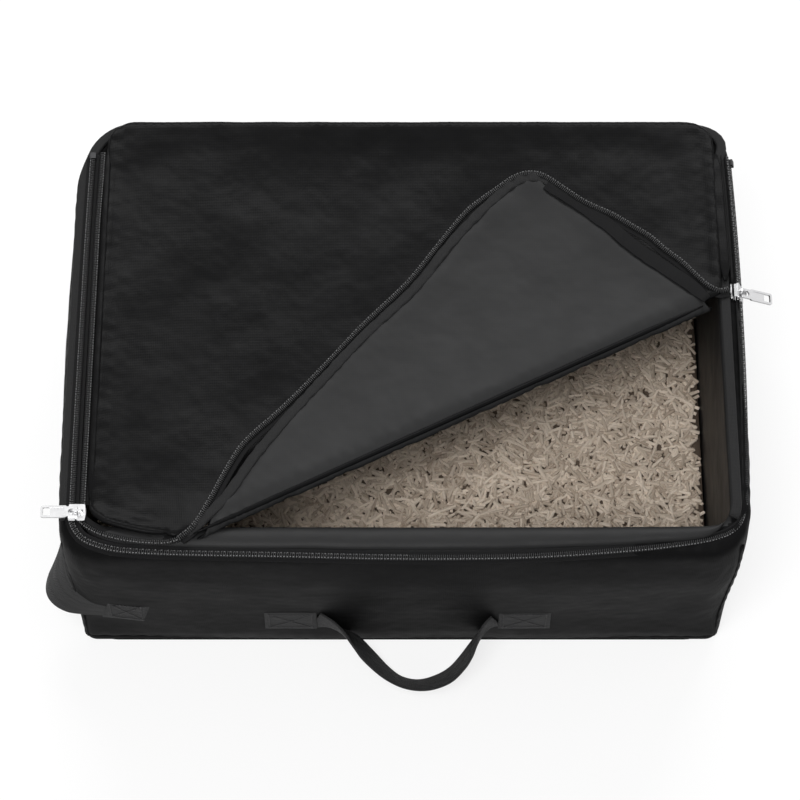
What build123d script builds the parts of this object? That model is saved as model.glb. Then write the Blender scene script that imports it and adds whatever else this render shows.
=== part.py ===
"""Foldable litter box: a soft padded box with a zip lid, one corner of the lid folded back."""

import os
from math import atan2, cos, degrees, hypot, radians, sin

from build123d import *

os.makedirs("parts", exist_ok=True)

# Overall size of the box, in millimetres, outside the walls
width = 400.0
depth = 284.0
wall_height = 156.0
corner_radius = 22.0
side_bow = 9.0
front_bow = 3.0
bow_height = 65.0
ring_share = 0.55
ring_bow_share = 0.7

# Cloth, foam and board
cloth = 1.0
wall_foam = 5.0
lining = 1.0
bottom_cloth = 1.2
board_thickness = 2.5
board_clearance = 0.5
seam_bead_radius = 1.3
seam_inset = 6.0

# Litter in the tray
litter_level = 28.0
litter_heave = 3.0
litter_clearance = 0.5
dish_margin = 20.0

# Zip: two coils on tapes, with a slider over both
tape_thickness = 0.6
tape_lap = 3.0
coil_width = 3.0
coil_height = 2.0
coil_gap = 1.2
zip_rise = 2.4
left_zip_inset = 10.5
right_zip_overhang = 4.0
right_zip_slope = 68.0
front_zip_overhang = 9.3
zip_rear_setback = 24.0
lip_clearance = 0.2
lip_right_inset = 16.0
zip_corner_radius = 17.4

# Rim of the walls
band_width = 3.5
band_clearance = 0.2
stop_length = 4.0
stop_wall = 0.6
rear_fold_radius = 1.9

# Lid
lid_cloth = 0.8
lid_foam = 1.4
lid_lining = 0.8
lid_sag = 6.0
lid_left_inset = 20.0
lid_right_inset = 7.0
lid_front_inset = 3.0
lid_rear_inset = 2.5
lid_corner_radius = 15.0
edge_sag = 0.3
welt_clearance = 0.5
welt_round_share = 0.67

# Corner of the lid folded back: where the fold meets the front edge and the right edge
fold_front_inset = 63.0
fold_right_setback = 155.9
fold_gap = 0.3
fold_roll_radius = 2.9
fold_end_setback = 9.0
flap_right_inset = 2.0
flap_tip_radius = 26.0
flap_tape_width = 9.0

# Slider
slider_length = 10.6
slider_plate = 0.9
slider_play = 0.2
lower_plate_play = 0.3
bend_clearance = 0.8
slider_side = 0.9
slider_flare = 0.6
slider_shoulder_share = 0.25
flange_rise = 0.4
notch_width = 1.0
notch_length = 2.0
post_width = 0.8
post_length = 3.4
left_slider_setback = 13.0
right_slider_offset = 8.1

# Bridge of the slider and the pull that hangs on it
bridge_width = 1.3
bridge_thickness = 1.2
bridge_half_span = 3.2
bridge_clear = 2.6
bridge_bend = 1.3
pull_length = 21.0
pull_width = 7.6
pull_thickness = 1.2
pull_neck_width = 6.4
pull_eye_width = 3.4
pull_eye_length = 4.2
pull_eye_wall = 0.75
pull_play = 0.2
pull_panel_margin = 1.3
pull_panel_depth = 0.25
pull_window_length = 4.2
right_pull_tilt = 43.0

# Webbing handle on the front wall and tug loop at the front left corner
webbing_width = 25.0
webbing_thickness = 1.8
webbing_clearance = 0.3
handle_foot_level = 31.0
handle_left_x = -52.0
handle_right_x = 60.0
handle_foot_length = 32.0
handle_reach = 38.0
handle_rest_level = 0.2
handle_bend = 10.0
handle_tip_radius = 17.0
loop_foot_level = 38.0
loop_foot_length = 26.0
loop_foot_inset = 16.0
loop_reach_x = 20.0
loop_reach_setback = 14.0
loop_side_setback = 41.0
loop_side_foot_length = 24.0
loop_side_gap = 8.5
cut_overrun = 30.0

# Direction half way round a square corner, in degrees
mitre_angle = 45.0

# Sizes that follow from the ones above
half_width = width / 2
half_depth = depth / 2
zip_level = wall_height + zip_rise
wall_thickness = cloth + wall_foam + lining
board_level = bottom_cloth
floor_level = board_level + board_thickness
litter_bottom = floor_level + lining
lid_thickness = lid_cloth + lid_foam + lid_lining
lid_top = zip_level + lid_thickness
tape_level = zip_level - tape_thickness
band_top = tape_level - band_clearance
half_gap = coil_gap / 2
coil_reach = half_gap + coil_width
zip_rear_y = half_depth - zip_rear_setback
left_zip_x = -half_width + left_zip_inset
right_zip_x = half_width + right_zip_overhang
front_zip_y = -half_depth - front_zip_overhang
slope_cos = cos(radians(right_zip_slope))
slope_sin = sin(radians(right_zip_slope))
diagonal_share = 1 - cos(radians(mitre_angle))

# Slider sizes, from the tape's upper face
channel_top = coil_height + slider_play
plate_top = channel_top + slider_plate
lower_plate_top = -tape_thickness - lower_plate_play
lower_plate_bottom = lower_plate_top - slider_plate
slider_half = coil_reach + slider_play + slider_side
slider_reach = slider_half + slider_flare
pivot_level = plate_top + pull_thickness / 2 + pull_play
half_slider = slider_length / 2

# The right zip hangs over the edge on a slope; its tape bends off the level lid this far from the coils
bend_reach = slider_reach + bend_clearance
right_zip_level = zip_level - tape_thickness * (1 - slope_cos) / 2 - bend_reach * slope_sin

left_zip = Plane(origin=(left_zip_x, 0, zip_level), x_dir=(-1, 0, 0), z_dir=(0, 0, 1))
right_zip = Plane(
    origin=(right_zip_x, 0, right_zip_level),
    x_dir=(slope_cos, 0, -slope_sin),
    z_dir=(slope_sin, 0, slope_cos),
)

# Lid outline and fold line
lid_left = -half_width + lid_left_inset
lid_right = half_width - lid_right_inset
lid_front = -half_depth + lid_front_inset
lid_rear = half_depth - lid_rear_inset
lid_mid_x = (lid_left + lid_right) / 2
lid_mid_y = (lid_front + lid_rear) / 2
fold_front_x = fold_front_inset - half_width
fold_right_y = fold_right_setback - half_depth
left_slider_y = left_slider_setback - half_depth
right_slider_y = fold_right_y + right_slider_offset
hinge_y = half_depth
hinge_level = zip_level + lid_thickness / 2
fold_level = lid_top + fold_gap / 2
lid_coil_front = front_zip_y + half_gap
fold_front_y = lid_coil_front
fold_right_x = lid_right + fold_gap
fold_angle = degrees(atan2(fold_right_y - fold_front_y, fold_right_x - fold_front_x))
fold_length = hypot(fold_right_y - fold_front_y, fold_right_x - fold_front_x)
fold_setback = fold_roll_radius + fold_gap


# Levels of the rings that shape the swelling walls, each with its share of the full bow
wall_rings = (
    (bottom_cloth, 0),
    (bow_height - (bow_height - bottom_cloth) * ring_share, ring_bow_share),
    (bow_height, 1),
    (bow_height + (wall_height - bow_height) * ring_share, ring_bow_share),
    (wall_height, 0),
)


def wall_section(level, inset, side, end):
    """Draw the plan of the box at one level: four bowed sides joined by round corners."""
    half_w = half_width - inset
    half_d = half_depth - inset
    radius = corner_radius - inset
    cut = radius * diagonal_share
    run = half_w - radius
    rise = half_d - radius
    with BuildSketch(Plane.XY.offset(level)) as section:
        with BuildLine():
            ThreePointArc((-run, -half_d), (0, -half_d - end), (run, -half_d))
            ThreePointArc((run, -half_d), (half_w - cut, cut - half_d), (half_w, -rise))
            ThreePointArc((half_w, -rise), (half_w + side, 0), (half_w, rise))
            ThreePointArc((half_w, rise), (half_w - cut, half_d - cut), (run, half_d))
            ThreePointArc((run, half_d), (0, half_d + end), (-run, half_d))
            ThreePointArc((-run, half_d), (cut - half_w, half_d - cut), (-half_w, rise))
            ThreePointArc((-half_w, rise), (-half_w - side, 0), (-half_w, -rise))
            ThreePointArc((-half_w, -rise), (cut - half_w, cut - half_d), (-run, -half_d))
        make_face()
    return section.sketch


def wall_block(inset, bulging):
    """Build the solid inside one layer of the walls; the outer layers swell at mid height."""
    with BuildPart() as block:
        if bulging:
            for level, share in wall_rings:
                side = edge_sag + (side_bow - edge_sag) * share
                end = edge_sag + (front_bow - edge_sag) * share
                add(wall_section(level, inset, side, end))
            loft(ruled=True)
        else:
            with BuildSketch(Plane.XY.offset(bottom_cloth)):
                RectangleRounded(width - 2 * inset, depth - 2 * inset, corner_radius - inset)
            extrude(amount=wall_height - bottom_cloth)
    return block.part


def quarter(side):
    """Build the wedge that cuts one wall out of the ring of walls, mitred at the corners."""
    reach = half_width + cut_overrun
    deep = half_depth + cut_overrun
    inner = reach - deep
    points = {
        "front": [(-reach, -deep), (reach, -deep), (inner, 0), (-inner, 0)],
        "back": [(-reach, deep), (-inner, 0), (inner, 0), (reach, deep)],
        "left": [(-reach, -deep), (-inner, 0), (-reach, deep)],
        "right": [(reach, -deep), (reach, deep), (inner, 0)],
    }[side]
    with BuildPart() as wedge:
        with BuildSketch():
            with BuildLine():
                Polyline(*points, close=True)
            make_face()
        extrude(amount=wall_height + cut_overrun)
    return wedge.part


def plan_block(left, right, front, rear, radius=0.0):
    """Draw a rectangle in plan from its four edges, with round corners where a radius is given."""
    with Locations(((left + right) / 2, (front + rear) / 2)):
        if radius:
            RectangleRounded(right - left, rear - front, radius)
        else:
            Rectangle(right - left, rear - front)


def finish(builder, name):
    """Label one finished piece and write it to its own file."""
    builder.part.label = name
    export_step(builder.part, f"parts/{name}.step")


# Bottom cloth, base board and floor lining
with BuildPart() as bottom_panel:
    with BuildSketch():
        RectangleRounded(width, depth, corner_radius)
    extrude(amount=bottom_cloth)
finish(bottom_panel, "bottom_panel")

board_inset = wall_thickness + board_clearance
with BuildPart() as base_board:
    with BuildSketch(Plane.XY.offset(board_level)):
        RectangleRounded(width - 2 * board_inset, depth - 2 * board_inset, corner_radius - board_inset)
    extrude(amount=board_thickness)
finish(base_board, "base_board")

with BuildPart() as floor_lining:
    with BuildSketch(Plane.XY.offset(floor_level)):
        RectangleRounded(width - 2 * board_inset, depth - 2 * board_inset, corner_radius - board_inset)
    extrude(amount=lining)
finish(floor_lining, "floor_lining")

# Padded walls: cover cloth, foam pad and lining, in layers from the outside in
cover_block = wall_block(0, True)
foam_block = wall_block(cloth, True)
lining_block = wall_block(cloth + wall_foam, False)
tray_block = wall_block(wall_thickness, False)

for side in ("front", "back", "left", "right"):
    with BuildPart() as wall_cover:
        add(cover_block)
        add(foam_block, mode=Mode.SUBTRACT)
        add(quarter(side), mode=Mode.INTERSECT)
    finish(wall_cover, f"{side}_wall_cover")

    with BuildPart() as wall_pad:
        add(foam_block)
        add(lining_block, mode=Mode.SUBTRACT)
        add(quarter(side), mode=Mode.INTERSECT)
    finish(wall_pad, f"{side}_wall_pad")

with BuildPart() as wall_lining:
    add(lining_block)
    add(tray_block, mode=Mode.SUBTRACT)
finish(wall_lining, "wall_lining")

# Corner seams: a bead of binding down each corner of the walls
corner_cut = corner_radius * diagonal_share
for name, x_sign, y_sign in (
    ("front_left", -1, -1),
    ("front_right", 1, -1),
    ("rear_left", -1, 1),
    ("rear_right", 1, 1),
):
    with BuildPart() as corner_seam:
        with BuildSketch(Plane.XY.offset(bottom_cloth)):
            with Locations((x_sign * (half_width - corner_cut), y_sign * (half_depth - corner_cut))):
                Circle(seam_bead_radius)
        extrude(amount=wall_height - bottom_cloth - seam_inset)
        add(cover_block, mode=Mode.SUBTRACT)
        add(tray_block, mode=Mode.SUBTRACT)
    finish(corner_seam, f"{name}_seam")

# Loose litter: a bed with a gently heaving top, a little clear of the lining
litter_half_w = half_width - board_inset - litter_clearance
litter_half_d = half_depth - board_inset - litter_clearance
litter_heave_shares = (0.2, -0.4, 0.6)
bed_reach_w = litter_half_w + dish_margin
bed_reach_d = litter_half_d + dish_margin
with BuildPart() as litter_bed:
    for row, heave_share in enumerate(litter_heave_shares):
        row_y = bed_reach_d - 2 * bed_reach_d * row / (len(litter_heave_shares) - 1)
        with BuildSketch(Plane(origin=(0, row_y, 0), x_dir=(1, 0, 0), z_dir=(0, -1, 0))):
            with BuildLine():
                Polyline(
                    (-bed_reach_w, litter_level),
                    (-bed_reach_w, litter_bottom),
                    (bed_reach_w, litter_bottom),
                    (bed_reach_w, litter_level),
                )
                ThreePointArc(
                    (bed_reach_w, litter_level),
                    (0, litter_level + litter_heave * heave_share),
                    (-bed_reach_w, litter_level),
                )
            make_face()
    loft()
    with BuildSketch():
        RectangleRounded(
            2 * litter_half_w, 2 * litter_half_d, corner_radius - board_inset - litter_clearance
        )
    extrude(amount=litter_level + litter_heave, mode=Mode.INTERSECT)
finish(litter_bed, "litter_bed")

# Rim: seam band on top of the left, back and right walls
with BuildPart() as rim_band:
    with BuildSketch(Plane.XY.offset(wall_height)):
        RectangleRounded(width, depth, corner_radius)
        RectangleRounded(
            width - 2 * band_width, depth - 2 * band_width, corner_radius - band_width, mode=Mode.SUBTRACT
        )
        with Locations((0, -half_depth)):
            Rectangle(width, 2 * corner_radius, mode=Mode.SUBTRACT)
    extrude(amount=band_top - wall_height)
finish(rim_band, "rim_band")

# Left wall zip tape, level, from the wall's top to the coil
coil_line_x = left_zip_x - half_gap - coil_width / 2
coil_line_y = front_zip_y - half_gap - coil_width / 2
left_tape_front = coil_line_y + zip_corner_radius
with BuildPart() as left_wall_tape:
    with BuildSketch(Plane.XY.offset(tape_level)):
        with BuildLine():
            Polyline(
                (left_zip_x - half_gap, left_tape_front),
                (left_zip_x - half_gap, zip_rear_y),
                (-half_width + cloth, zip_rear_y),
                (-half_width + cloth, left_tape_front + corner_radius),
                (left_zip_x - coil_reach, left_tape_front),
                close=True,
            )
        make_face()
    extrude(amount=tape_thickness)
finish(left_wall_tape, "left_wall_tape")

# Front lip: the top of the front wall turned outwards, with the zip tape at its edge
lip_level = wall_height + lip_clearance
lip_left = left_zip_x - half_gap + zip_corner_radius
lip_right = half_width - lip_right_inset
with BuildPart() as front_lip:
    with BuildSketch(Plane.XY.offset(lip_level)):
        plan_block(lip_left, lip_right, coil_line_y - coil_width / 2, wall_thickness - half_depth)
    extrude(amount=tape_thickness)
finish(front_lip, "front_lip")

# Wall half of the coil: up the left side, then along the edge of the front lip
left_coil_front = left_slider_y - half_slider - slider_play
with BuildPart() as left_wall_coil:
    with BuildSketch(Plane.XY.offset(zip_level)):
        plan_block(coil_line_x - coil_width / 2, left_zip_x - half_gap, left_coil_front, zip_rear_y)
    extrude(amount=coil_height)
finish(left_wall_coil, "left_wall_coil")

with BuildPart() as front_wall_coil:
    with BuildSketch(Plane.XY.offset(lip_level + tape_thickness)):
        with BuildLine():
            left_turn = JernArc((coil_line_x, left_tape_front), (0, -1), zip_corner_radius, 90)
            right_turn_start = (lip_right, coil_line_y)
            Line(left_turn @ 1, right_turn_start)
            JernArc(right_turn_start, (1, 0), zip_corner_radius, 90)
        trace(line_width=coil_width)
    extrude(amount=coil_height)
finish(front_wall_coil, "front_wall_coil")


def right_strip(points, thickness, front_y, rear_y):
    """Build a strip that runs along the right edge, from its section across the edge."""
    with BuildPart() as strip:
        with BuildSketch(Plane.XZ.offset(-rear_y)):
            with BuildLine():
                Polyline(*points)
            trace(line_width=thickness)
        extrude(amount=rear_y - front_y)
    return strip


def slope_point(across, height):
    """Give the place (x, z) of a point across the right zip and above its tape."""
    return (
        right_zip_x + across * slope_cos + height * slope_sin,
        right_zip_level - across * slope_sin + height * slope_cos,
    )


# Right wall zip tape and coil, on the slope outside the right wall
right_front_y = -half_depth + corner_radius
tape_mid = -tape_thickness / 2
wall_bend = slope_point(bend_reach, tape_mid)
wall_tape_points = [slope_point(half_gap, tape_mid), wall_bend, (wall_bend[0], wall_bend[1] - tape_lap)]
right_wall_tape = right_strip(wall_tape_points, tape_thickness, right_front_y, zip_rear_y)
finish(right_wall_tape, "right_wall_tape")

coil_mid = coil_height / 2
wall_coil_points = [slope_point(half_gap, coil_mid), slope_point(coil_reach, coil_mid)]
right_wall_coil = right_strip(wall_coil_points, coil_height, right_front_y, zip_rear_y)
finish(right_wall_coil, "right_wall_coil")

# Rear fold: the roll of cloth between the back wall and the lid, on its seam allowance
with BuildPart() as rear_fold:
    with BuildSketch(Plane.YZ.offset(-half_width + corner_radius)):
        with Locations((hinge_y, hinge_level)):
            Circle(rear_fold_radius)
        with BuildLine():
            Polyline(
                (hinge_y - tape_thickness, hinge_level),
                (hinge_y - tape_thickness, band_top),
                (hinge_y, band_top),
                (hinge_y, hinge_level),
                close=True,
            )
        make_face()
    extrude(amount=width - 2 * corner_radius)
finish(rear_fold, "rear_fold")


def end_stop(zip_plane, name):
    """Build the metal clamp that ends the wall half of a zip at the rear corner."""
    stop_centre = zip_plane.origin + Vector(0, zip_rear_y - stop_length / 2, 0)
    section_plane = Plane(origin=stop_centre, x_dir=zip_plane.x_dir, z_dir=-zip_plane.y_dir)
    outer_height = coil_height + stop_wall
    middle = half_gap + coil_width / 2
    with BuildPart() as stop:
        with BuildSketch(section_plane) as section:
            with Locations((middle, outer_height / 2)):
                Rectangle(coil_width + 2 * stop_wall, outer_height)
            fillet(section.vertices().sort_by(Axis.Y)[-2:], stop_wall)
            with Locations((middle, coil_height / 2)):
                Rectangle(coil_width, coil_height, mode=Mode.SUBTRACT)
        extrude(amount=stop_length / 2, both=True)
    finish(stop, name)


end_stop(left_zip, "left_end_stop")
end_stop(right_zip, "right_end_stop")


def dished_layer(bottom, thickness):
    """Build one layer of the lid, sagging between its edges, wider than the outline that cuts it."""
    left = lid_left - dish_margin
    right = lid_right + dish_margin
    half_span = (lid_right - lid_left) / 2
    half_run = (lid_rear - lid_front) / 2
    rise_share = ((half_span + dish_margin) / half_span) ** 2 - 1
    end_share = ((half_run + dish_margin) / half_run) ** 2 - 1
    end_sag = edge_sag - (lid_sag - edge_sag) * end_share
    rows = ((lid_rear + dish_margin, end_sag), (lid_mid_y, lid_sag), (lid_front - dish_margin, end_sag))
    with BuildPart() as layer:
        for row_y, sag in rows:
            edge_level = bottom + sag * rise_share
            with BuildSketch(Plane(origin=(0, row_y, 0), x_dir=(1, 0, 0), z_dir=(0, -1, 0))):
                with BuildLine():
                    ThreePointArc((left, edge_level), (lid_mid_x, bottom - sag), (right, edge_level))
                    Line((right, edge_level), (right, edge_level + thickness))
                    ThreePointArc(
                        (right, edge_level + thickness),
                        (lid_mid_x, bottom + thickness - sag),
                        (left, edge_level + thickness),
                    )
                    Line((left, edge_level + thickness), (left, edge_level))
                make_face()
        loft()
    return layer.part


fold_direction = Vector(cos(radians(fold_angle)), sin(radians(fold_angle)), 0)
fold_plane = Plane(origin=(fold_front_x, fold_front_y, 0), x_dir=fold_direction, z_dir=(0, 0, 1))


def to_fold(x, y):
    """Give a point of the lid as a distance along the fold and a distance out towards the corner."""
    along = (x - fold_front_x) * fold_direction.X + (y - fold_front_y) * fold_direction.Y
    out = (x - fold_front_x) * fold_direction.Y - (y - fold_front_y) * fold_direction.X
    return (along, out)


def cut_fold(setback):
    """Cut away the part of a lid sketch that the fold turns over."""
    reach = fold_length + cut_overrun
    with Locations(Location((fold_front_x, fold_front_y, 0), (0, 0, fold_angle))):
        with Locations((fold_length / 2, setback - reach)):
            Rectangle(2 * reach, 2 * reach, mode=Mode.SUBTRACT)


# Lid: outer cloth over thin foam over a coated lining, cut off along the fold
lid_layers = (
    ("lining", zip_level, lid_lining),
    ("foam", zip_level + lid_lining, lid_foam),
    ("cloth", zip_level + lid_lining + lid_foam, lid_cloth),
)
for name, level, thickness in lid_layers:
    with BuildPart() as lid_layer:
        with BuildSketch():
            plan_block(lid_left, lid_right, lid_front, lid_rear, lid_corner_radius)
            cut_fold(fold_setback)
        extrude(amount=lid_top + cut_overrun)
        add(dished_layer(level, thickness), mode=Mode.INTERSECT)
    finish(lid_layer, f"lid_{name}")

# Lid's left zip strip: welt, tape and coil, notched where the slider stands
lid_coil_left = left_zip_x + half_gap
welt_left = left_zip_x + slider_reach + welt_clearance
left_run_front = left_slider_y + half_slider + welt_clearance
left_run_corner = lid_front + lid_corner_radius
with BuildPart() as left_lid_welt:
    with BuildSketch(Plane.XY.offset(zip_level)):
        plan_block(welt_left, lid_left, left_run_corner, zip_rear_y)
    extrude(amount=lid_thickness)
    outer_edge = left_lid_welt.edges().filter_by(Axis.Y).group_by(Axis.Z)[-1].sort_by(Axis.X)[0]
    fillet(outer_edge, lid_thickness / 2)
finish(left_lid_welt, "left_lid_welt")

with BuildPart() as left_lid_tape:
    with BuildSketch(Plane.XY.offset(tape_level)):
        plan_block(lid_coil_left, lid_left, left_run_corner, zip_rear_y)
        with Locations((left_zip_x, left_slider_y)):
            Rectangle(
                2 * (slider_reach + welt_clearance / 2),
                slider_length + 2 * welt_clearance,
                mode=Mode.SUBTRACT,
            )
    extrude(amount=tape_thickness)
finish(left_lid_tape, "left_lid_tape")

with BuildPart() as left_lid_coil:
    with BuildSketch(Plane.XY.offset(zip_level)):
        plan_block(lid_coil_left, lid_coil_left + coil_width, left_run_front, zip_rear_y)
    extrude(amount=coil_height)
finish(left_lid_coil, "left_lid_coil")

# Lid's front zip strip: welt and tape along the short stretch left of the fold, coil round the corner
front_run_left = left_zip_x - half_gap + zip_corner_radius
with BuildPart() as front_lid_welt:
    with BuildSketch(Plane.XY.offset(zip_level)):
        plan_block(lid_left + lid_corner_radius, 0, lid_front - (lid_left - welt_left), lid_front)
        cut_fold(fold_setback)
    extrude(amount=lid_thickness)
finish(front_lid_welt, "front_lid_welt")

with BuildPart() as front_lid_tape:
    with BuildSketch(Plane.XY.offset(tape_level)):
        plan_block(front_run_left, 0, lid_coil_front, lid_front)
        cut_fold(fold_setback)
    extrude(amount=tape_thickness)
finish(front_lid_tape, "front_lid_tape")

lid_turn_radius = zip_corner_radius - coil_width - coil_gap
lid_coil_line = lid_coil_front + coil_width / 2
with BuildPart() as front_lid_coil:
    with BuildSketch(Plane.XY.offset(zip_level)):
        with BuildLine():
            corner_start = (lid_coil_left + coil_width / 2, lid_coil_line + lid_turn_radius)
            corner_turn = JernArc(corner_start, (0, -1), lid_turn_radius, 90)
            Line(corner_turn @ 1, (0, lid_coil_line))
        trace(line_width=coil_width)
        cut_fold(fold_setback)
    extrude(amount=coil_height)
finish(front_lid_coil, "front_lid_coil")

# Lid's right zip strip, which turns down over the edge behind the right slider
right_run_front = right_slider_y + half_slider + welt_clearance
lid_bend = slope_point(-bend_reach, tape_mid)
lid_tape_points = [
    (lid_right, zip_level - tape_thickness / 2),
    lid_bend,
    slope_point(-half_gap, tape_mid),
]
right_lid_tape = right_strip(lid_tape_points, tape_thickness, right_run_front, zip_rear_y)
finish(right_lid_tape, "right_lid_tape")

lid_coil_points = [slope_point(-coil_reach, coil_mid), slope_point(-half_gap, coil_mid)]
right_lid_coil = right_strip(lid_coil_points, coil_height, right_run_front, zip_rear_y)
finish(right_lid_coil, "right_lid_coil")

with BuildPart() as right_lid_welt:
    with BuildSketch(Plane.XY.offset(zip_level)):
        plan_block(lid_right, lid_bend[0] - tape_thickness, right_run_front, zip_rear_y)
    extrude(amount=lid_thickness)
    outer_edge = right_lid_welt.edges().filter_by(Axis.Y).group_by(Axis.Z)[-1].sort_by(Axis.X)[-1]
    fillet(outer_edge, lid_thickness * welt_round_share)
finish(right_lid_welt, "right_lid_welt")

# Soft roll of cloth along the fold
with BuildPart() as fold_roll:
    roll_start = Vector(fold_front_x, fold_front_y, fold_level) + fold_direction * fold_end_setback
    with BuildSketch(Plane(origin=roll_start, z_dir=fold_direction)):
        Circle(fold_roll_radius)
    extrude(amount=fold_length - 2 * fold_end_setback)
    chamfer(fold_roll.edges(), fold_roll_radius / 2)
finish(fold_roll, "lid_fold_roll")


def flap_sketch(inset, radius):
    """Draw the folded corner in plan, inset from the outer edge of its zip strip."""
    right = half_width - flap_right_inset - inset
    front = lid_coil_front + inset
    reach = fold_length + half_width
    corner_points = [
        to_fold(fold_front_x - half_width, front),
        to_fold(right, front),
        to_fold(right, half_width),
    ]
    with BuildSketch(fold_plane) as plan:
        with BuildLine():
            Polyline(*corner_points, close=True)
        make_face()
        fillet(plan.vertices().sort_by(Axis.Y)[-1], radius)
        with Locations((fold_length / 2, fold_setback - reach)):
            Rectangle(2 * reach, 2 * reach, mode=Mode.SUBTRACT)
    return plan.sketch


def flap_block(inset):
    """Build the upright block over the folded corner, which cuts the dished layers to its outline."""
    with BuildPart() as block:
        add(flap_sketch(inset, flap_tip_radius - inset))
        extrude(amount=lid_top + cut_overrun)
    return block.part


flap_panel_inset = half_width - flap_right_inset - lid_right
flap_base = lid_top + fold_gap
flap_layers = (
    ("cloth", flap_base, lid_cloth),
    ("foam", flap_base + lid_cloth, lid_foam),
    ("lining", flap_base + lid_cloth + lid_foam, lid_lining),
)
panel_block = flap_block(flap_panel_inset)
for name, level, thickness in flap_layers:
    with BuildPart() as flap_layer:
        add(panel_block)
        add(dished_layer(level, thickness), mode=Mode.INTERSECT)
    finish(flap_layer, f"corner_{name}")

flap_top = flap_base + lid_thickness
strip_block = flap_block(0)
with BuildPart() as corner_tape:
    add(strip_block)
    add(dished_layer(flap_top, tape_thickness), mode=Mode.INTERSECT)
    add(flap_block(flap_tape_width), mode=Mode.SUBTRACT)
finish(corner_tape, "corner_tape")

with BuildPart() as corner_coil:
    add(strip_block)
    add(dished_layer(flap_top - coil_height, coil_height), mode=Mode.INTERSECT)
    add(flap_block(coil_width), mode=Mode.SUBTRACT)
finish(corner_coil, "corner_coil")


def slider_plan(plane, open_side):
    """Draw a slider plate: narrow where the closed zip leaves it, flared where it opens."""
    back = -open_side * half_slider
    shoulder = open_side * half_slider * slider_shoulder_share
    front = open_side * half_slider
    side = open_side * slider_half
    side_reach = open_side * slider_reach
    with BuildSketch(plane) as plan:
        with BuildLine():
            Polyline(
                (-side, back),
                (side, back),
                (side_reach, shoulder),
                (side, front),
                (-side, front),
                (-side_reach, shoulder),
                close=True,
            )
        make_face()
        fillet(plan.vertices(), slider_side)
    return plan.sketch


def zip_slider(zip_plane, travel_y, open_side, name):
    """Build a slider: two plates joined by a post between the coils, side flanges and a bridge."""
    plane = Plane(
        origin=zip_plane.origin + Vector(0, travel_y, 0), x_dir=zip_plane.x_dir, z_dir=zip_plane.z_dir
    )
    flange_middle = coil_reach + slider_play + slider_side / 2
    with BuildPart() as slider:
        add(slider_plan(plane.offset(lower_plate_bottom), open_side))
        extrude(amount=slider_plate, dir=plane.z_dir)
        add(slider_plan(plane.offset(channel_top), open_side))
        extrude(amount=slider_plate, dir=plane.z_dir)
        with BuildSketch(plane.offset(flange_rise)):
            with Locations((-flange_middle, 0), (flange_middle, 0)):
                Rectangle(slider_side, slider_length - 2 * slider_side)
        extrude(amount=channel_top - flange_rise)
        with BuildSketch(plane.offset(lower_plate_top)):
            with Locations((0, open_side * (half_slider - post_length / 2 - slider_side))):
                SlotOverall(post_length, post_width, rotation=90)
        extrude(amount=channel_top - lower_plate_top)
        with BuildSketch(plane.offset(channel_top)):
            with Locations((0, open_side * half_slider)):
                Rectangle(notch_width, notch_length, rotation=mitre_angle)
        extrude(amount=slider_plate, mode=Mode.SUBTRACT)
        arch_plane = Plane(
            origin=plane.origin + plane.z_dir * (plate_top - slider_plate / 2),
            x_dir=plane.x_dir,
            z_dir=-plane.y_dir,
        )
        bridge_top = bridge_clear + slider_plate / 2
        with BuildSketch(arch_plane):
            with BuildLine():
                FilletPolyline(
                    (-bridge_half_span, 0),
                    (-bridge_half_span, bridge_top),
                    (bridge_half_span, bridge_top),
                    (bridge_half_span, 0),
                    radius=bridge_bend,
                )
            trace(line_width=bridge_thickness)
        extrude(amount=bridge_width / 2, both=True)
    finish(slider, name)


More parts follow.
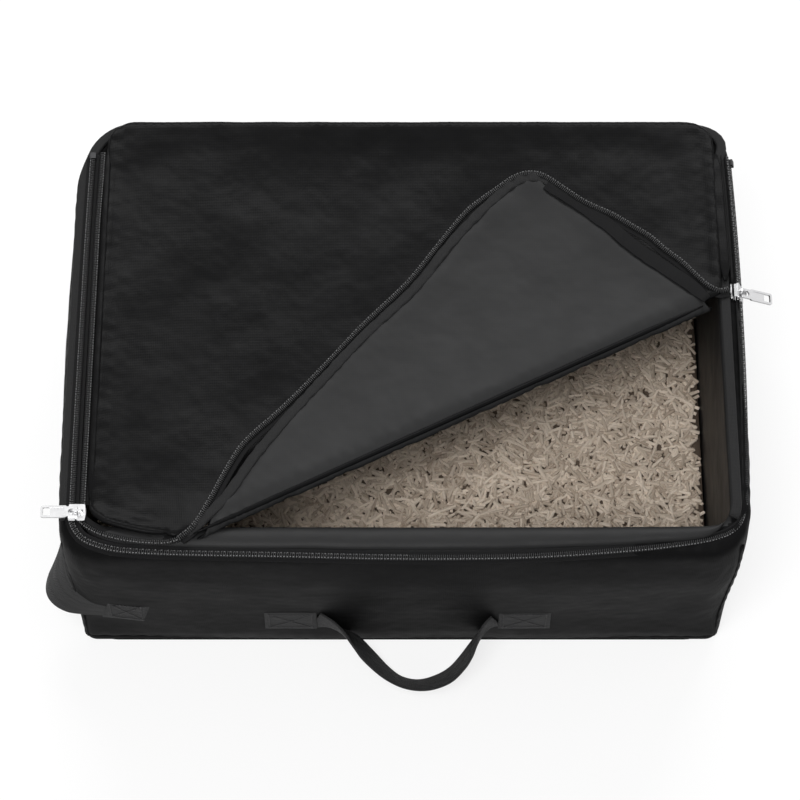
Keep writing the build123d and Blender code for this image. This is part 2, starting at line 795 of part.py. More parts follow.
def zip_pull(zip_plane, travel_y, tilt, name):
    """Build a pull: a flat tab with an eye round the bridge, a sunk panel and a window at its end."""
    tilted_x = zip_plane.x_dir * cos(radians(tilt)) + zip_plane.z_dir * sin(radians(tilt))
    tilted_z = zip_plane.z_dir * cos(radians(tilt)) - zip_plane.x_dir * sin(radians(tilt))
    pivot = zip_plane.origin + Vector(0, travel_y, 0) + zip_plane.z_dir * pivot_level
    plane = Plane(origin=pivot, x_dir=tilted_x, z_dir=tilted_z)
    neck_end = pull_eye_wall * 2 + pull_eye_length
    with BuildPart() as pull:
        with BuildSketch(plane.offset(-pull_thickness / 2)) as plan:
            with BuildLine():
                Polyline(
                    (0, -pull_neck_width / 2),
                    (neck_end, -pull_neck_width / 2),
                    (neck_end + pull_eye_wall, -pull_width / 2),
                    (pull_length, -pull_width / 2),
                    (pull_length, pull_width / 2),
                    (neck_end + pull_eye_wall, pull_width / 2),
                    (neck_end, pull_neck_width / 2),
                    (0, pull_neck_width / 2),
                    close=True,
                )
            make_face()
            fillet(plan.vertices().group_by(Axis.X)[-1], pull_panel_margin)
            with Locations((pull_eye_wall + pull_eye_length / 2, 0)):
                SlotOverall(pull_eye_length, pull_eye_width, mode=Mode.SUBTRACT)
        extrude(amount=pull_thickness)
        with BuildSketch(Plane(origin=pivot, x_dir=tilted_x, z_dir=plane.y_dir)):
            Circle(pull_thickness / 2)
        extrude(amount=pull_neck_width / 2, both=True)
        panel_start = neck_end + pull_eye_wall + pull_panel_margin
        panel_end = pull_length - pull_panel_margin
        with BuildSketch(plane.offset(pull_thickness / 2)):
            with Locations(((panel_start + panel_end) / 2, 0)):
                RectangleRounded(
                    panel_end - panel_start, pull_width - 2 * pull_panel_margin, pull_panel_margin / 2
                )
        extrude(amount=-pull_panel_depth, mode=Mode.SUBTRACT)
        with BuildSketch(plane.offset(-pull_thickness / 2)):
            with Locations((panel_end - pull_window_length / 2, 0)):
                RectangleRounded(
                    pull_window_length, pull_width - 2 * pull_panel_margin, pull_panel_margin / 2
                )
        extrude(amount=pull_thickness, mode=Mode.SUBTRACT)
    finish(pull, name)


zip_slider(left_zip, left_slider_y, 1, "left_slider")
zip_pull(left_zip, left_slider_y, 0, "left_pull")
zip_slider(right_zip, right_slider_y, -1, "right_slider")
zip_pull(right_zip, right_slider_y, right_pull_tilt, "right_pull")

# Sewn ends of the webbing, lying on the wall covers
webbing_block = wall_block(-webbing_thickness, True)


def sewn_end(left, right, front, rear, bottom, name):
    """Build one sewn end of webbing, wrapped flat on the wall inside a given box."""
    with BuildPart() as patch:
        with BuildSketch(Plane.XY.offset(bottom)):
            plan_block(left, right, front, rear)
        extrude(amount=webbing_width)
        add(webbing_block, mode=Mode.INTERSECT)
        add(cover_block, mode=Mode.SUBTRACT)
    finish(patch, name)


outside_front = -half_depth - cut_overrun
outside_left = -half_width - cut_overrun
foot_left = handle_left_x - handle_foot_length
loop_foot_x = loop_foot_inset - half_width
loop_side_y = loop_side_setback - half_depth
foot_right = handle_right_x + handle_foot_length
loop_foot_right = loop_foot_x + loop_foot_length
loop_side_rear = loop_side_y + loop_side_foot_length
sewn_end(foot_left, handle_left_x, outside_front, 0, handle_foot_level, "handle_left_end")
sewn_end(handle_right_x, foot_right, outside_front, 0, handle_foot_level, "handle_right_end")
sewn_end(loop_foot_x, loop_foot_right, outside_front, 0, loop_foot_level, "loop_front_end")
sewn_end(outside_left, 0, loop_side_y, loop_side_rear, loop_foot_level, "loop_side_end")

# Front handle: a loop of webbing on edge, sloping down to the ground in front of the wall
handle_face_y = -half_depth - front_bow - webbing_thickness - webbing_clearance
handle_drop = handle_foot_level - handle_rest_level
slope_length = hypot(handle_reach, handle_drop)
handle_slope = Plane(
    origin=(0, handle_face_y, handle_foot_level),
    x_dir=(1, 0, 0),
    z_dir=(0, handle_drop / slope_length, -handle_reach / slope_length),
)
handle_tip_x = (handle_left_x + handle_right_x) / 2
with BuildPart() as handle_loop:
    with BuildSketch(handle_slope):
        with BuildLine():
            FilletPolyline(
                (handle_left_x + webbing_clearance, webbing_thickness / 2),
                (handle_left_x + handle_bend, webbing_thickness / 2),
                (handle_tip_x, slope_length - webbing_thickness / 2),
                (handle_right_x - handle_bend, webbing_thickness / 2),
                (handle_right_x - webbing_clearance, webbing_thickness / 2),
                radius=[handle_bend, handle_tip_radius, handle_bend],
            )
        trace(line_width=webbing_thickness)
    extrude(amount=webbing_width, dir=(0, 0, 1))
finish(handle_loop, "handle_loop")

# Corner tug loop: stands out round the corner between its two sewn ends
loop_start = (loop_foot_x - webbing_clearance, -half_depth - webbing_thickness - webbing_clearance)
loop_reach = (-half_width - loop_reach_x, loop_reach_setback - half_depth)
loop_end = (-half_width - loop_side_gap, loop_side_y - webbing_clearance)
with BuildPart() as corner_loop:
    with BuildSketch(Plane.XY.offset(loop_foot_level)):
        with BuildLine():
            ThreePointArc(loop_start, loop_reach, loop_end)
        trace(line_width=webbing_thickness)
    extrude(amount=webbing_width)
finish(corner_loop, "corner_loop")
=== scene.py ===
"""Foldable litter box: soft padded walls, a zip lid with one corner folded back, webbing and pellet litter."""

import logging
import math
from collections.abc import Callable, Sequence
from dataclasses import dataclass
from enum import Enum

import bpy
import numpy as np
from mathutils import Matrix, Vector, noise
from mathutils.geometry import delaunay_2d_cdt


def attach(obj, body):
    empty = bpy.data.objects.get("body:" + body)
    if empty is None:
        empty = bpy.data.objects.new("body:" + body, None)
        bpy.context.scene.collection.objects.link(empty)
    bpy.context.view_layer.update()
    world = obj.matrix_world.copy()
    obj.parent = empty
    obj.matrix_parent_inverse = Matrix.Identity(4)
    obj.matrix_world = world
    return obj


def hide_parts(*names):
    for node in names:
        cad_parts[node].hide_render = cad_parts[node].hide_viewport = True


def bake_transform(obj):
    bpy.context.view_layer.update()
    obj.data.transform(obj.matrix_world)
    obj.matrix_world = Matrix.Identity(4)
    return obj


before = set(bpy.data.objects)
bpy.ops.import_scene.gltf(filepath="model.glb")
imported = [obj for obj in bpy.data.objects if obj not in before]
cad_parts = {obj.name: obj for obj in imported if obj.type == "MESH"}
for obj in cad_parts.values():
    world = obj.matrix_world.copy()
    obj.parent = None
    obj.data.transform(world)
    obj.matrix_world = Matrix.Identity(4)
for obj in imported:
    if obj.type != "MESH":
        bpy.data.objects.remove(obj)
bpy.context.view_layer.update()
log = logging.getLogger("litter_box")

Point = Vector
Section = Sequence[tuple[float, float]]
UP = Vector((0.0, 0.0, 1.0))


class Wiring:
    """Places nodes in one node tree and links them."""

    def __init__(self, tree: bpy.types.NodeTree) -> None:
        """Keep the tree whose nodes are being placed."""
        self.tree = tree

    def add(self, kind: str, inputs: dict | None = None, **settings: object) -> bpy.types.Node:
        """Add one node.

        Args:
            kind: Blender's name of the node type.
            inputs: Values or output sockets, by the name or number of the input they go to.
            settings: The node's own settings.

        Returns:
            The new node.
        """
        node = self.tree.nodes.new(kind)
        for key, value in settings.items():
            setattr(node, key, value)
        for key, value in (inputs or {}).items():
            if isinstance(value, bpy.types.NodeSocket):
                self.tree.links.new(value, node.inputs[key])
            else:
                node.inputs[key].default_value = value
        return node

    def math(self, operation: str, first: object, second: object = 0.0) -> bpy.types.NodeSocket:
        """Combine two numbers or sockets with one Math node and return its output."""
        kind = "ShaderNodeMath"
        return self.add(kind, {0: first, 1: second}, operation=operation).outputs[0]

    def band(self, coordinate: object, axis: str, period: float) -> bpy.types.NodeSocket:
        """Return soft stripes across one axis, one stripe in each period."""
        inputs = {"Vector": coordinate, "Scale": math.pi / 10 / period}
        wave = self.add("ShaderNodeTexWave", inputs, bands_direction=axis, wave_profile="SIN")
        return wave.outputs["Fac"]

    def noise(self, coordinate: object, scale: float, detail: float) -> bpy.types.NodeSocket:
        """Return a noise pattern of so many features in a metre."""
        inputs = {"Vector": coordinate, "Scale": scale, "Detail": detail}
        return self.add("ShaderNodeTexNoise", inputs).outputs["Fac"]

    def scaled(self, value: object, factor: float, offset: float) -> bpy.types.NodeSocket:
        """Multiply a value and add an offset."""
        inputs = {0: value, 1: factor, 2: offset}
        return self.add("ShaderNodeMath", inputs, operation="MULTIPLY_ADD").outputs[0]

    def spread(self, value: object, low: float, high: float, **limits: float) -> bpy.types.NodeSocket:
        """Map a value onto the range from low to high."""
        inputs = {"Value": value, "To Min": low, "To Max": high}
        inputs |= {name.replace("_", " ").title(): limit for name, limit in limits.items()}
        return self.add("ShaderNodeMapRange", inputs).outputs["Result"]

    def tint(self, shader: bpy.types.Node, color: Sequence[float], factor: object) -> None:
        """Colour a shader, lighter or darker by a factor."""
        base = self.add("ShaderNodeVectorMath", {0: color, "Scale": factor}, operation="SCALE")
        self.tree.links.new(base.outputs["Vector"], shader.inputs["Base Color"])

    def emboss(
        self, shader: bpy.types.Node, height: object, distance: float, strength: float, below: object = None
    ) -> None:
        """Give a shader a relief, on top of another relief where one is given."""
        inputs = {"Height": height, "Distance": distance, "Strength": strength}
        if below is not None:
            inputs["Normal"] = below
        bump = self.add("ShaderNodeBump", inputs)
        self.tree.links.new(bump.outputs["Normal"], shader.inputs["Normal"])

    def seen_directly(self) -> bpy.types.NodeSocket:
        """Return 1 for rays from the camera, mirror rays and rays through glass, and 0 for the light on pieces."""
        path = self.add("ShaderNodeLightPath").outputs
        mirrored = self.math("MAXIMUM", path["Is Glossy Ray"], path["Is Transmission Ray"])
        return self.math("MAXIMUM", path["Is Camera Ray"], mirrored)


def new_material(name: str) -> tuple[bpy.types.Material, Wiring, bpy.types.Node]:
    """Start a node material.

    Args:
        name: The material's name.

    Returns:
        The material, the wiring of its tree and its surface shader.
    """
    material = bpy.data.materials.new(name)
    material.use_nodes = True
    wiring = Wiring(material.node_tree)
    return material, wiring, material.node_tree.nodes["Principled BSDF"]


@dataclass(frozen=True)
class ClothFinish:
    """Plain woven nylon, coated or bare: fine threads, soft creases and uneven colour."""

    name: str
    color: tuple[float, float, float]
    roughness: float = 0.6
    sheen: float = 0.02
    thread: float = 0.0011
    relief: float = 0.12
    crease_size: float = 0.045
    crease_depth: float = 0.0006
    mottle: float = 0.2
    gloss: float = 0.22

    def build(self) -> bpy.types.Material:
        """Build the material."""
        material, wiring, shader = new_material(self.name)
        place = wiring.add("ShaderNodeTexCoord").outputs["Object"]
        threads = wiring.band(place, "X", self.thread)
        for axis in ("Y", "Z"):
            threads = wiring.math("ADD", threads, wiring.band(place, axis, self.thread))
        stain = wiring.noise(place, 55.0, 4.0)
        shade = wiring.spread(stain, 1 - self.mottle, 1 + self.mottle)
        fleck = wiring.scaled(threads, self.mottle / 6, 1 - self.mottle / 4)
        wiring.tint(shader, self.color, wiring.math("MULTIPLY", shade, fleck))
        rough = wiring.scaled(stain, 0.16, self.roughness - 0.08)
        wiring.tree.links.new(rough, shader.inputs["Roughness"])
        soft = wiring.noise(place, 1 / self.crease_size, 3.0)
        inputs = {"Height": soft, "Distance": self.crease_depth * 6, "Strength": 0.6}
        crease = wiring.add("ShaderNodeBump", inputs).outputs["Normal"]
        wiring.emboss(shader, threads, self.thread / 4, self.relief, below=crease)
        shader.inputs["Specular IOR Level"].default_value = self.gloss
        shader.inputs["Sheen Weight"].default_value = self.sheen
        shader.inputs["Sheen Roughness"].default_value = 0.4
        return material


@dataclass(frozen=True)
class WebbingFinish:
    """Woven strap: a herringbone that runs along the strap's own length."""

    name: str
    color: tuple[float, float, float]
    rib: float = 0.0013
    zigzag: float = 0.0042
    roughness: float = 0.75

    def build(self) -> bpy.types.Material:
        """Build the material, which reads the strap's UV map in metres."""
        material, wiring, shader = new_material(self.name)
        layout = wiring.add("ShaderNodeTexCoord").outputs["UV"]
        parts = wiring.add("ShaderNodeSeparateXYZ", {"Vector": layout})
        fold = wiring.math("PINGPONG", parts.outputs["Y"], self.zigzag)
        slant = wiring.math("ADD", parts.outputs["X"], fold)
        turn = wiring.math("MULTIPLY", slant, 2 * math.pi / self.rib)
        rib = wiring.math("SINE", turn)
        groove = wiring.math("SINE", wiring.math("MULTIPLY", parts.outputs["Y"], math.pi / self.zigzag))
        height = wiring.math("ADD", rib, wiring.math("ABSOLUTE", groove))
        wiring.tint(shader, self.color, wiring.spread(height, 0.55, 1.35, from_min=-1.0, from_max=2.0))
        wiring.emboss(shader, height, 0.0003, 0.8)
        shader.inputs["Roughness"].default_value = self.roughness
        shader.inputs["Specular IOR Level"].default_value = 0.25
        shader.inputs["Sheen Weight"].default_value = 0.03
        return material


@dataclass(frozen=True)
class MetalFinish:
    """Bright plated zinc with fine rubbing marks."""

    name: str
    color: tuple[float, float, float]
    roughness: float = 0.2

    def build(self) -> bpy.types.Material:
        """Build the material."""
        material, wiring, shader = new_material(self.name)
        place = wiring.add("ShaderNodeTexCoord").outputs["Object"]
        rub = wiring.noise(place, 900.0, 5.0)
        rough = wiring.scaled(wiring.noise(place, 160.0, 3.0), 0.22, self.roughness - 0.06)
        wiring.tree.links.new(rough, shader.inputs["Roughness"])
        wiring.tint(shader, self.color, wiring.spread(rub, 0.88, 1.06))
        wiring.emboss(shader, rub, 0.00004, 0.4)
        shader.inputs["Metallic"].default_value = 1.0
        return material


@dataclass(frozen=True)
class PlasticFinish:
    """Nylon coil, thread or board: smooth plastic with slight unevenness."""

    name: str
    color: tuple[float, float, float]
    roughness: float = 0.4

    def build(self) -> bpy.types.Material:
        """Build the material."""
        material, wiring, shader = new_material(self.name)
        place = wiring.add("ShaderNodeTexCoord").outputs["Object"]
        grain = wiring.noise(place, 420.0, 3.0)
        wiring.tint(shader, self.color, wiring.spread(grain, 0.7, 1.35))
        wiring.emboss(shader, grain, 0.00012, 0.4)
        shader.inputs["Roughness"].default_value = self.roughness
        shader.inputs["Specular IOR Level"].default_value = 0.35
        return material


@dataclass(frozen=True)
class LitterFinish:
    """Dry pellets, each with a tone of its own."""

    name: str
    dark: tuple[float, float, float]
    light: tuple[float, float, float]

    def build(self) -> bpy.types.Material:
        """Build the material, which reads each pellet's tone attribute."""
        material, wiring, shader = new_material(self.name)
        place = wiring.add("ShaderNodeTexCoord").outputs["Object"]
        tone = wiring.add("ShaderNodeAttribute", attribute_name="tone").outputs["Fac"]
        grain = wiring.noise(place, 900.0, 4.0)
        mixed = wiring.math("ADD", wiring.math("MULTIPLY", tone, 0.75), wiring.math("MULTIPLY", grain, 0.3))
        ramp = wiring.add("ShaderNodeValToRGB", {"Fac": mixed})
        ramp.color_ramp.elements[0].color = (*self.dark, 1.0)
        ramp.color_ramp.elements[1].color = (*self.light, 1.0)
        wiring.tree.links.new(ramp.outputs["Color"], shader.inputs["Base Color"])
        wiring.emboss(shader, grain, 0.0003, 0.7)
        shader.inputs["Roughness"].default_value = 0.9
        return material


class Finish(Enum):
    """The finishes of the box, by the piece that wears them."""

    SHELL = ClothFinish("shell_nylon", (0.0056, 0.0056, 0.0058), roughness=0.5, sheen=0.004, gloss=0.018)
    LID = ClothFinish("lid_nylon", (0.0040, 0.0040, 0.0042), roughness=0.32, sheen=0.002, relief=0.1, gloss=0.045)
    LINING = ClothFinish(
        "coated_lining", (0.0125, 0.0126, 0.0129), roughness=0.5, sheen=0.0, relief=0.04, mottle=0.08, gloss=0.13
    )
    BINDING = ClothFinish(
        "edge_binding", (0.0125, 0.0125, 0.0128), roughness=0.75, thread=0.0009, relief=0.5, gloss=0.16
    )
    TAPE = ClothFinish("zip_tape", (0.0065, 0.0065, 0.0068), roughness=0.78, thread=0.0008, relief=0.35, gloss=0.1)
    WEBBING = WebbingFinish("strap_webbing", (0.0190, 0.0190, 0.0195))
    COIL = PlasticFinish("zip_coil", (0.014, 0.014, 0.0145), roughness=0.34)
    THREAD = PlasticFinish("sewing_thread", (0.02, 0.02, 0.021), roughness=0.5)
    # Light grey dots on the dark coil: painted highlights, the glints of the coil's turns.
    DOT = PlasticFinish("painted_coil_glint", (0.17, 0.17, 0.172), roughness=0.42)
    BOARD = PlasticFinish("base_board", (0.03, 0.03, 0.03), roughness=0.6)
    DARK_METAL = MetalFinish("blackened_stop", (0.035, 0.035, 0.036), roughness=0.45)
    METAL = MetalFinish("plated_zinc", (0.5, 0.5, 0.505), roughness=0.27)
    # Dark brown bed under the pellets: painted shade that shows in the gaps between them.
    GAP_SHADE_BED = ClothFinish("litter_gap_shade", (0.12, 0.090, 0.068), roughness=0.9, mottle=0.35, gloss=0.1)
    LITTER = LitterFinish("pellet_litter", (0.34, 0.265, 0.198), (0.80, 0.69, 0.575))


class Palette:
    """Builds each finish once and hands it out."""

    def __init__(self) -> None:
        """Start with nothing built."""
        self.built: dict[Finish, bpy.types.Material] = {}

    def get(self, finish: Finish) -> bpy.types.Material:
        """Return the material of a finish, built when it is first asked for."""
        if finish not in self.built:
            self.built[finish] = finish.value.build()
        return self.built[finish]


palette = Palette()


def smooth_step(value: float) -> float:
    """Ease a number from 0 to 1."""
    value = min(1.0, max(0.0, value))
    return value * value * (3 - 2 * value)


def make_object(
    name: str,
    points: Sequence[Point],
    faces: Sequence[Sequence[int]],
    finishes: Sequence[Finish],
    uvs: Sequence[Sequence[tuple[float, float]]] | None = None,
    smooth: bool = True,
) -> bpy.types.Object:
    """Make a mesh object at the origin.

    Args:
        name: The piece's name.
        points: Places of the vertices, in metres.
        faces: Vertex numbers of each face.
        finishes: The finishes in the piece's material slots.
        uvs: For each face, the map place of each corner.
        smooth: Whether the faces are shaded smooth.

    Returns:
        The new object.
    """
    mesh = bpy.data.meshes.new(name)
    mesh.from_pydata([tuple(p) for p in points], [], [tuple(f) for f in faces])
    if uvs is not None:
        layer = mesh.uv_layers.new(name="layout")
        flat = [place for face in uvs for place in face]
        for corner, place in zip(layer.data, flat):
            corner.uv = place
    for finish in finishes:
        mesh.materials.append(palette.get(finish))
    mesh.polygons.foreach_set("use_smooth", [smooth] * len(mesh.polygons))
    mesh.update()
    piece = bpy.data.objects.new(name, mesh)
    bpy.context.scene.collection.objects.link(piece)
    return piece


def grid_faces(
    rows: int, columns: int, closed_rows: bool = False, closed_columns: bool = False, flipped: bool = False
) -> list[list[int]]:
    """Join a grid of points, numbered row by row, into faces.

    Args:
        rows: Rows of points.
        columns: Points in each row.
        closed_rows: Whether the last row joins the first.
        closed_columns: Whether each row comes back to its start.
        flipped: Whether the faces point the other way.

    Returns:
        The vertex numbers of each face.
    """
    faces = []
    for row in range(rows if closed_rows else rows - 1):
        here, ahead = row * columns, (row + 1) % rows * columns
        for column in range(columns if closed_columns else columns - 1):
            step = (column + 1) % columns
            face = [here + column, here + step, ahead + step, ahead + column]
            faces.append([here + step, here + column, ahead + column, ahead + step] if flipped else face)
    return faces


def settle_mesh(piece: bpy.types.Object) -> bpy.types.Object:
    """Turn a piece and its modifiers into one plain mesh."""
    bpy.context.view_layer.update()
    seen = piece.evaluated_get(bpy.context.evaluated_depsgraph_get())
    mesh = bpy.data.meshes.new_from_object(seen)
    old = piece.data
    piece.modifiers.clear()
    piece.data = mesh
    if old.users == 0:
        bpy.data.meshes.remove(old)
    return piece


def smooth_path(points: Sequence[Sequence[float]], spacing: float, closed: bool = False) -> list[Point]:
    """Draw a smooth line through a few points.

    Args:
        points: The places that the line goes through, in metres.
        spacing: About how far apart the returned points are.
        closed: Whether the line comes back to its start.

    Returns:
        Points along the line.
    """
    knots = [Vector(p) for p in points]
    count = len(knots)
    path: list[Point] = []
    for index in range(count if closed else count - 1):
        if closed:
            a, b, c, d = (knots[(index + shift) % count] for shift in (-1, 0, 1, 2))
        else:
            b, c = knots[index], knots[index + 1]
            a = knots[index - 1] if index else b * 2 - c
            d = knots[index + 2] if index + 2 < count else c * 2 - b
        steps = max(1, round((c - b).length / spacing))
        for step in range(steps):
            t = step / steps
            point = (b * 2 + (c - a) * t + (a * 2 - b * 5 + c * 4 - d) * t**2 + (b * 3 - a - c * 3 + d) * t**3) / 2
            path.append(point)
    if not closed:
        path.append(knots[-1])
    return path


def path_length(points: Sequence[Point]) -> float:
    """Return the length of the line through some points."""
    return sum((second - first).length for first, second in zip(points, points[1:]))


def flat_section(width: float, thickness: float, rounding: float, steps: int = 3) -> list[tuple[float, float]]:
    """Return the outline of a strap's cross section: a rectangle with round corners."""
    outline = []
    for side, height, start in ((1, 1, 0.0), (-1, 1, 90.0), (-1, -1, 180.0), (1, -1, 270.0)):
        for step in range(steps + 1):
            angle = math.radians(start + 90 * step / steps)
            across = side * (width / 2 - rounding) + rounding * math.cos(angle)
            above = height * (thickness / 2 - rounding) + rounding * math.sin(angle)
            outline.append((across, above))
    return outline


def round_section(radius: float, sides: int = 10) -> list[tuple[float, float]]:
    """Return the outline of a round cross section."""
    angles = [2 * math.pi * step / sides for step in range(sides)]
    return [(radius * math.cos(angle), radius * math.sin(angle)) for angle in angles]


def sweep(
    name: str,
    path: Sequence[Point],
    section: Section | Callable[[float], Section],
    finish: Finish,
    up: Point | list[Point] = UP,
    closed: bool = False,
) -> bpy.types.Object:
    """Carry a cross section along a path.

    Args:
        name: The piece's name.
        path: Points along the path.
        section: The outline, or a function that gives it for a share of the way along.
        finish: The finish of the piece.
        up: The direction of the section's height, or one for each point.
        closed: Whether the path comes back to its start.

    Returns:
        The new piece, with a map that runs along and around it in metres.
    """
    points: list[Point] = []
    along: list[float] = []
    travelled = 0.0
    count = len(path)
    for index, place in enumerate(path):
        before = path[index - 1] if index or closed else place
        after = path[(index + 1) % count] if index + 1 < count or closed else place
        heading = (after - before).normalized()
        raised = up[index] if isinstance(up, list) else up
        side = heading.cross(raised).normalized()
        height = side.cross(heading)
        travelled += (place - before).length if index else 0.0
        along.append(travelled)
        outline = section(index / (count - 1)) if callable(section) else section
        points.extend(place + side * across + height * above for across, above in outline)
    ring = len(outline)
    around = [0.0]
    for index in range(ring):
        first, second = outline[index], outline[(index + 1) % ring]
        around.append(around[-1] + math.dist(first, second))
    faces = grid_faces(count, ring, closed_rows=closed, closed_columns=True, flipped=True)
    uvs: list[list[tuple[float, float]]] = []
    for row in range(count if closed else count - 1):
        end = along[row + 1] if row + 1 < count else travelled + (path[0] - path[-1]).length
        for low, high in zip(around, around[1:]):
            uvs.append([(along[row], high), (along[row], low), (end, low), (end, high)])
    if not closed:
        for row, order in ((0, range(ring)), (count - 1, reversed(range(ring)))):
            face = [row * ring + column for column in order]
            faces.append(face)
            uvs.append([(along[row] + outline[corner % ring][1], around[corner % ring]) for corner in face])
    return make_object(name, points, faces, [finish], uvs)


class GeometryTree:
    """A Geometry Nodes tree that turns a piece into many small copies."""

    def __init__(self, name: str, inputs: dict[str, str]) -> None:
        """Start the tree.

        Args:
            name: The tree's name.
            inputs: The kind of each of its inputs, by name.
        """
        self.tree = bpy.data.node_groups.new(name, "GeometryNodeTree")
        face = self.tree.interface
        face.new_socket("Geometry", in_out="INPUT", socket_type="NodeSocketGeometry")
        for label, kind in inputs.items():
            face.new_socket(label, in_out="INPUT", socket_type=f"NodeSocket{kind}")
        face.new_socket("Geometry", in_out="OUTPUT", socket_type="NodeSocketGeometry")
        self.wiring = Wiring(self.tree)
        self.given = self.wiring.add("NodeGroupInput").outputs

    def finish(self, copies: bpy.types.NodeSocket) -> None:
        """End the tree with real copies in their finish."""
        real = self.wiring.add("GeometryNodeRealizeInstances", {"Geometry": copies}).outputs[0]
        dressed = self.wiring.add("GeometryNodeSetMaterial", {"Geometry": real, "Material": self.given["Finish"]})
        self.wiring.add("NodeGroupOutput", {"Geometry": dressed.outputs[0]})

    def apply(self, piece: bpy.types.Object, values: dict[str, object]) -> bpy.types.Object:
        """Run the tree on a piece with these inputs and return it as one plain mesh."""
        modifier = piece.modifiers.new("copies", "NODES")
        modifier.node_group = self.tree
        for socket in self.tree.interface.items_tree:
            if socket.in_out == "INPUT" and socket.name in values:
                modifier[socket.identifier] = values[socket.name]
        return settle_mesh(piece)


class RepeatTree(GeometryTree):
    """Sets copies of a small shape at even steps along a path."""

    def __init__(self) -> None:
        """Build the tree."""
        inputs = {"Spacing": "Float", "Size": "Vector", "Up": "Vector", "Piece": "Object", "Finish": "Material"}
        super().__init__("row_along_path", inputs)
        wiring, given = self.wiring, self.given
        line = wiring.add("GeometryNodeMeshToCurve", {"Mesh": given["Geometry"]})
        steps = wiring.add(
            "GeometryNodeResampleCurve", {"Curve": line.outputs[0], "Length": given["Spacing"]}, mode="LENGTH"
        )
        heading = wiring.add("GeometryNodeInputTangent").outputs[0]
        facing = wiring.add("FunctionNodeAlignRotationToVector", {"Vector": heading}, axis="X")
        level = wiring.add(
            "FunctionNodeAlignRotationToVector",
            {"Rotation": facing.outputs[0], "Vector": given["Up"]},
            axis="Z",
            pivot_axis="X",
        )
        shape = wiring.add("GeometryNodeObjectInfo", {"Object": given["Piece"]})
        copies = wiring.add(
            "GeometryNodeInstanceOnPoints",
            {
                "Points": steps.outputs[0],
                "Instance": shape.outputs["Geometry"],
                "Rotation": level.outputs[0],
                "Scale": given["Size"],
            },
        )
        self.finish(copies.outputs[0])

    def lay(
        self,
        name: str,
        path: Sequence[Point],
        shape: bpy.types.Object,
        spacing: float,
        size: tuple[float, float, float],
        up: Point,
        finish: Finish,
    ) -> bpy.types.Object:
        """Lay copies of a shape along a path.

        Args:
            name: The piece's name.
            path: Points along the path.
            shape: The shape that is copied, with its length along X and its top along Z.
            spacing: How far apart the copies are.
            size: The scale of each copy.
            up: The direction of the copies' tops.
            finish: The finish of the copies.

        Returns:
            The row as one plain mesh.
        """
        mesh = bpy.data.meshes.new(name)
        mesh.from_pydata([tuple(p) for p in path], [(i, i + 1) for i in range(len(path) - 1)], [])
        piece = bpy.data.objects.new(name, mesh)
        bpy.context.scene.collection.objects.link(piece)
        values = {"Spacing": spacing, "Size": size, "Up": tuple(up), "Piece": shape, "Finish": palette.get(finish)}
        self.apply(piece, values)
        piece.data.polygons.foreach_set("use_smooth", [True] * len(piece.data.polygons))
        return piece


class PelletTree(GeometryTree):
    """Scatters loose pellets over a patch of the bed."""

    def __init__(self) -> None:
        """Build the tree."""
        sizes = {name: "Float" for name in ("Density", "Radius", "Length", "Heap")}
        super().__init__("scattered_pellets", {**sizes, "Seed": "Int", "Finish": "Material"})
        wiring, given = self.wiring, self.given
        spots = wiring.add(
            "GeometryNodeDistributePointsOnFaces",
            {"Mesh": given["Geometry"], "Density": given["Density"], "Seed": given["Seed"]},
        )
        stick = wiring.add(
            "GeometryNodeMeshCylinder", {"Vertices": 7, "Radius": given["Radius"], "Depth": given["Length"]}
        )
        lying = wiring.add(
            "GeometryNodeTransform", {"Geometry": stick.outputs["Mesh"], "Rotation": (0.0, math.pi / 2, 0.0)}
        )
        turn = wiring.add("FunctionNodeRandomValue", data_type="FLOAT_VECTOR")
        turn.inputs["Min"].default_value = (-3.14, -0.14, 0.0)
        turn.inputs["Max"].default_value = (3.14, 0.14, 6.283)
        stretch = wiring.add("FunctionNodeRandomValue", data_type="FLOAT_VECTOR")
        stretch.inputs["Min"].default_value = (0.6, 0.85, 0.85)
        stretch.inputs["Max"].default_value = (1.3, 1.12, 1.12)
        copies = wiring.add(
            "GeometryNodeInstanceOnPoints",
            {
                "Points": spots.outputs["Points"],
                "Instance": lying.outputs[0],
                "Rotation": turn.outputs["Value"],
                "Scale": stretch.outputs["Value"],
            },
        )
        rise = wiring.add("FunctionNodeRandomValue", data_type="FLOAT")
        rise_socket = next(socket for socket in rise.outputs if socket.enabled)
        lift = wiring.math("MULTIPLY", rise_socket, given["Heap"])
        offset = wiring.add("ShaderNodeCombineXYZ", {"Z": lift})
        heaped = wiring.add(
            "GeometryNodeTranslateInstances",
            {"Instances": copies.outputs[0], "Translation": offset.outputs[0], "Local Space": False},
        )
        tone = wiring.add("FunctionNodeRandomValue", data_type="FLOAT")
        tone.inputs["Seed"].default_value = 7
        tone_socket = next(socket for socket in tone.outputs if socket.enabled)
        toned = wiring.add(
            "GeometryNodeStoreNamedAttribute",
            {"Geometry": heaped.outputs[0], "Name": "tone", "Value": tone_socket},
            data_type="FLOAT",
            domain="INSTANCE",
        )
        self.finish(toned.outputs[0])

    def scatter(
        self, patch: bpy.types.Object, density: float, seed: int, radius: float, length: float, heap: float
    ) -> bpy.types.Object:
        """Cover a patch with pellets and return it as one plain mesh.

        Args:
            patch: The piece of the bed that the pellets lie on, which they replace.
            density: Pellets in each square metre.
            seed: The seed of the scatter.
            radius: The radius of a pellet.
            length: The middling length of a pellet.
            heap: The depth of the loose layer.

        Returns:
            The pellets.
        """
        values = {
            "Density": density,
            "Seed": seed,
            "Radius": radius,
            "Length": length,
            "Heap": heap,
            "Finish": palette.get(Finish.LITTER),
        }
        return self.apply(patch, values)


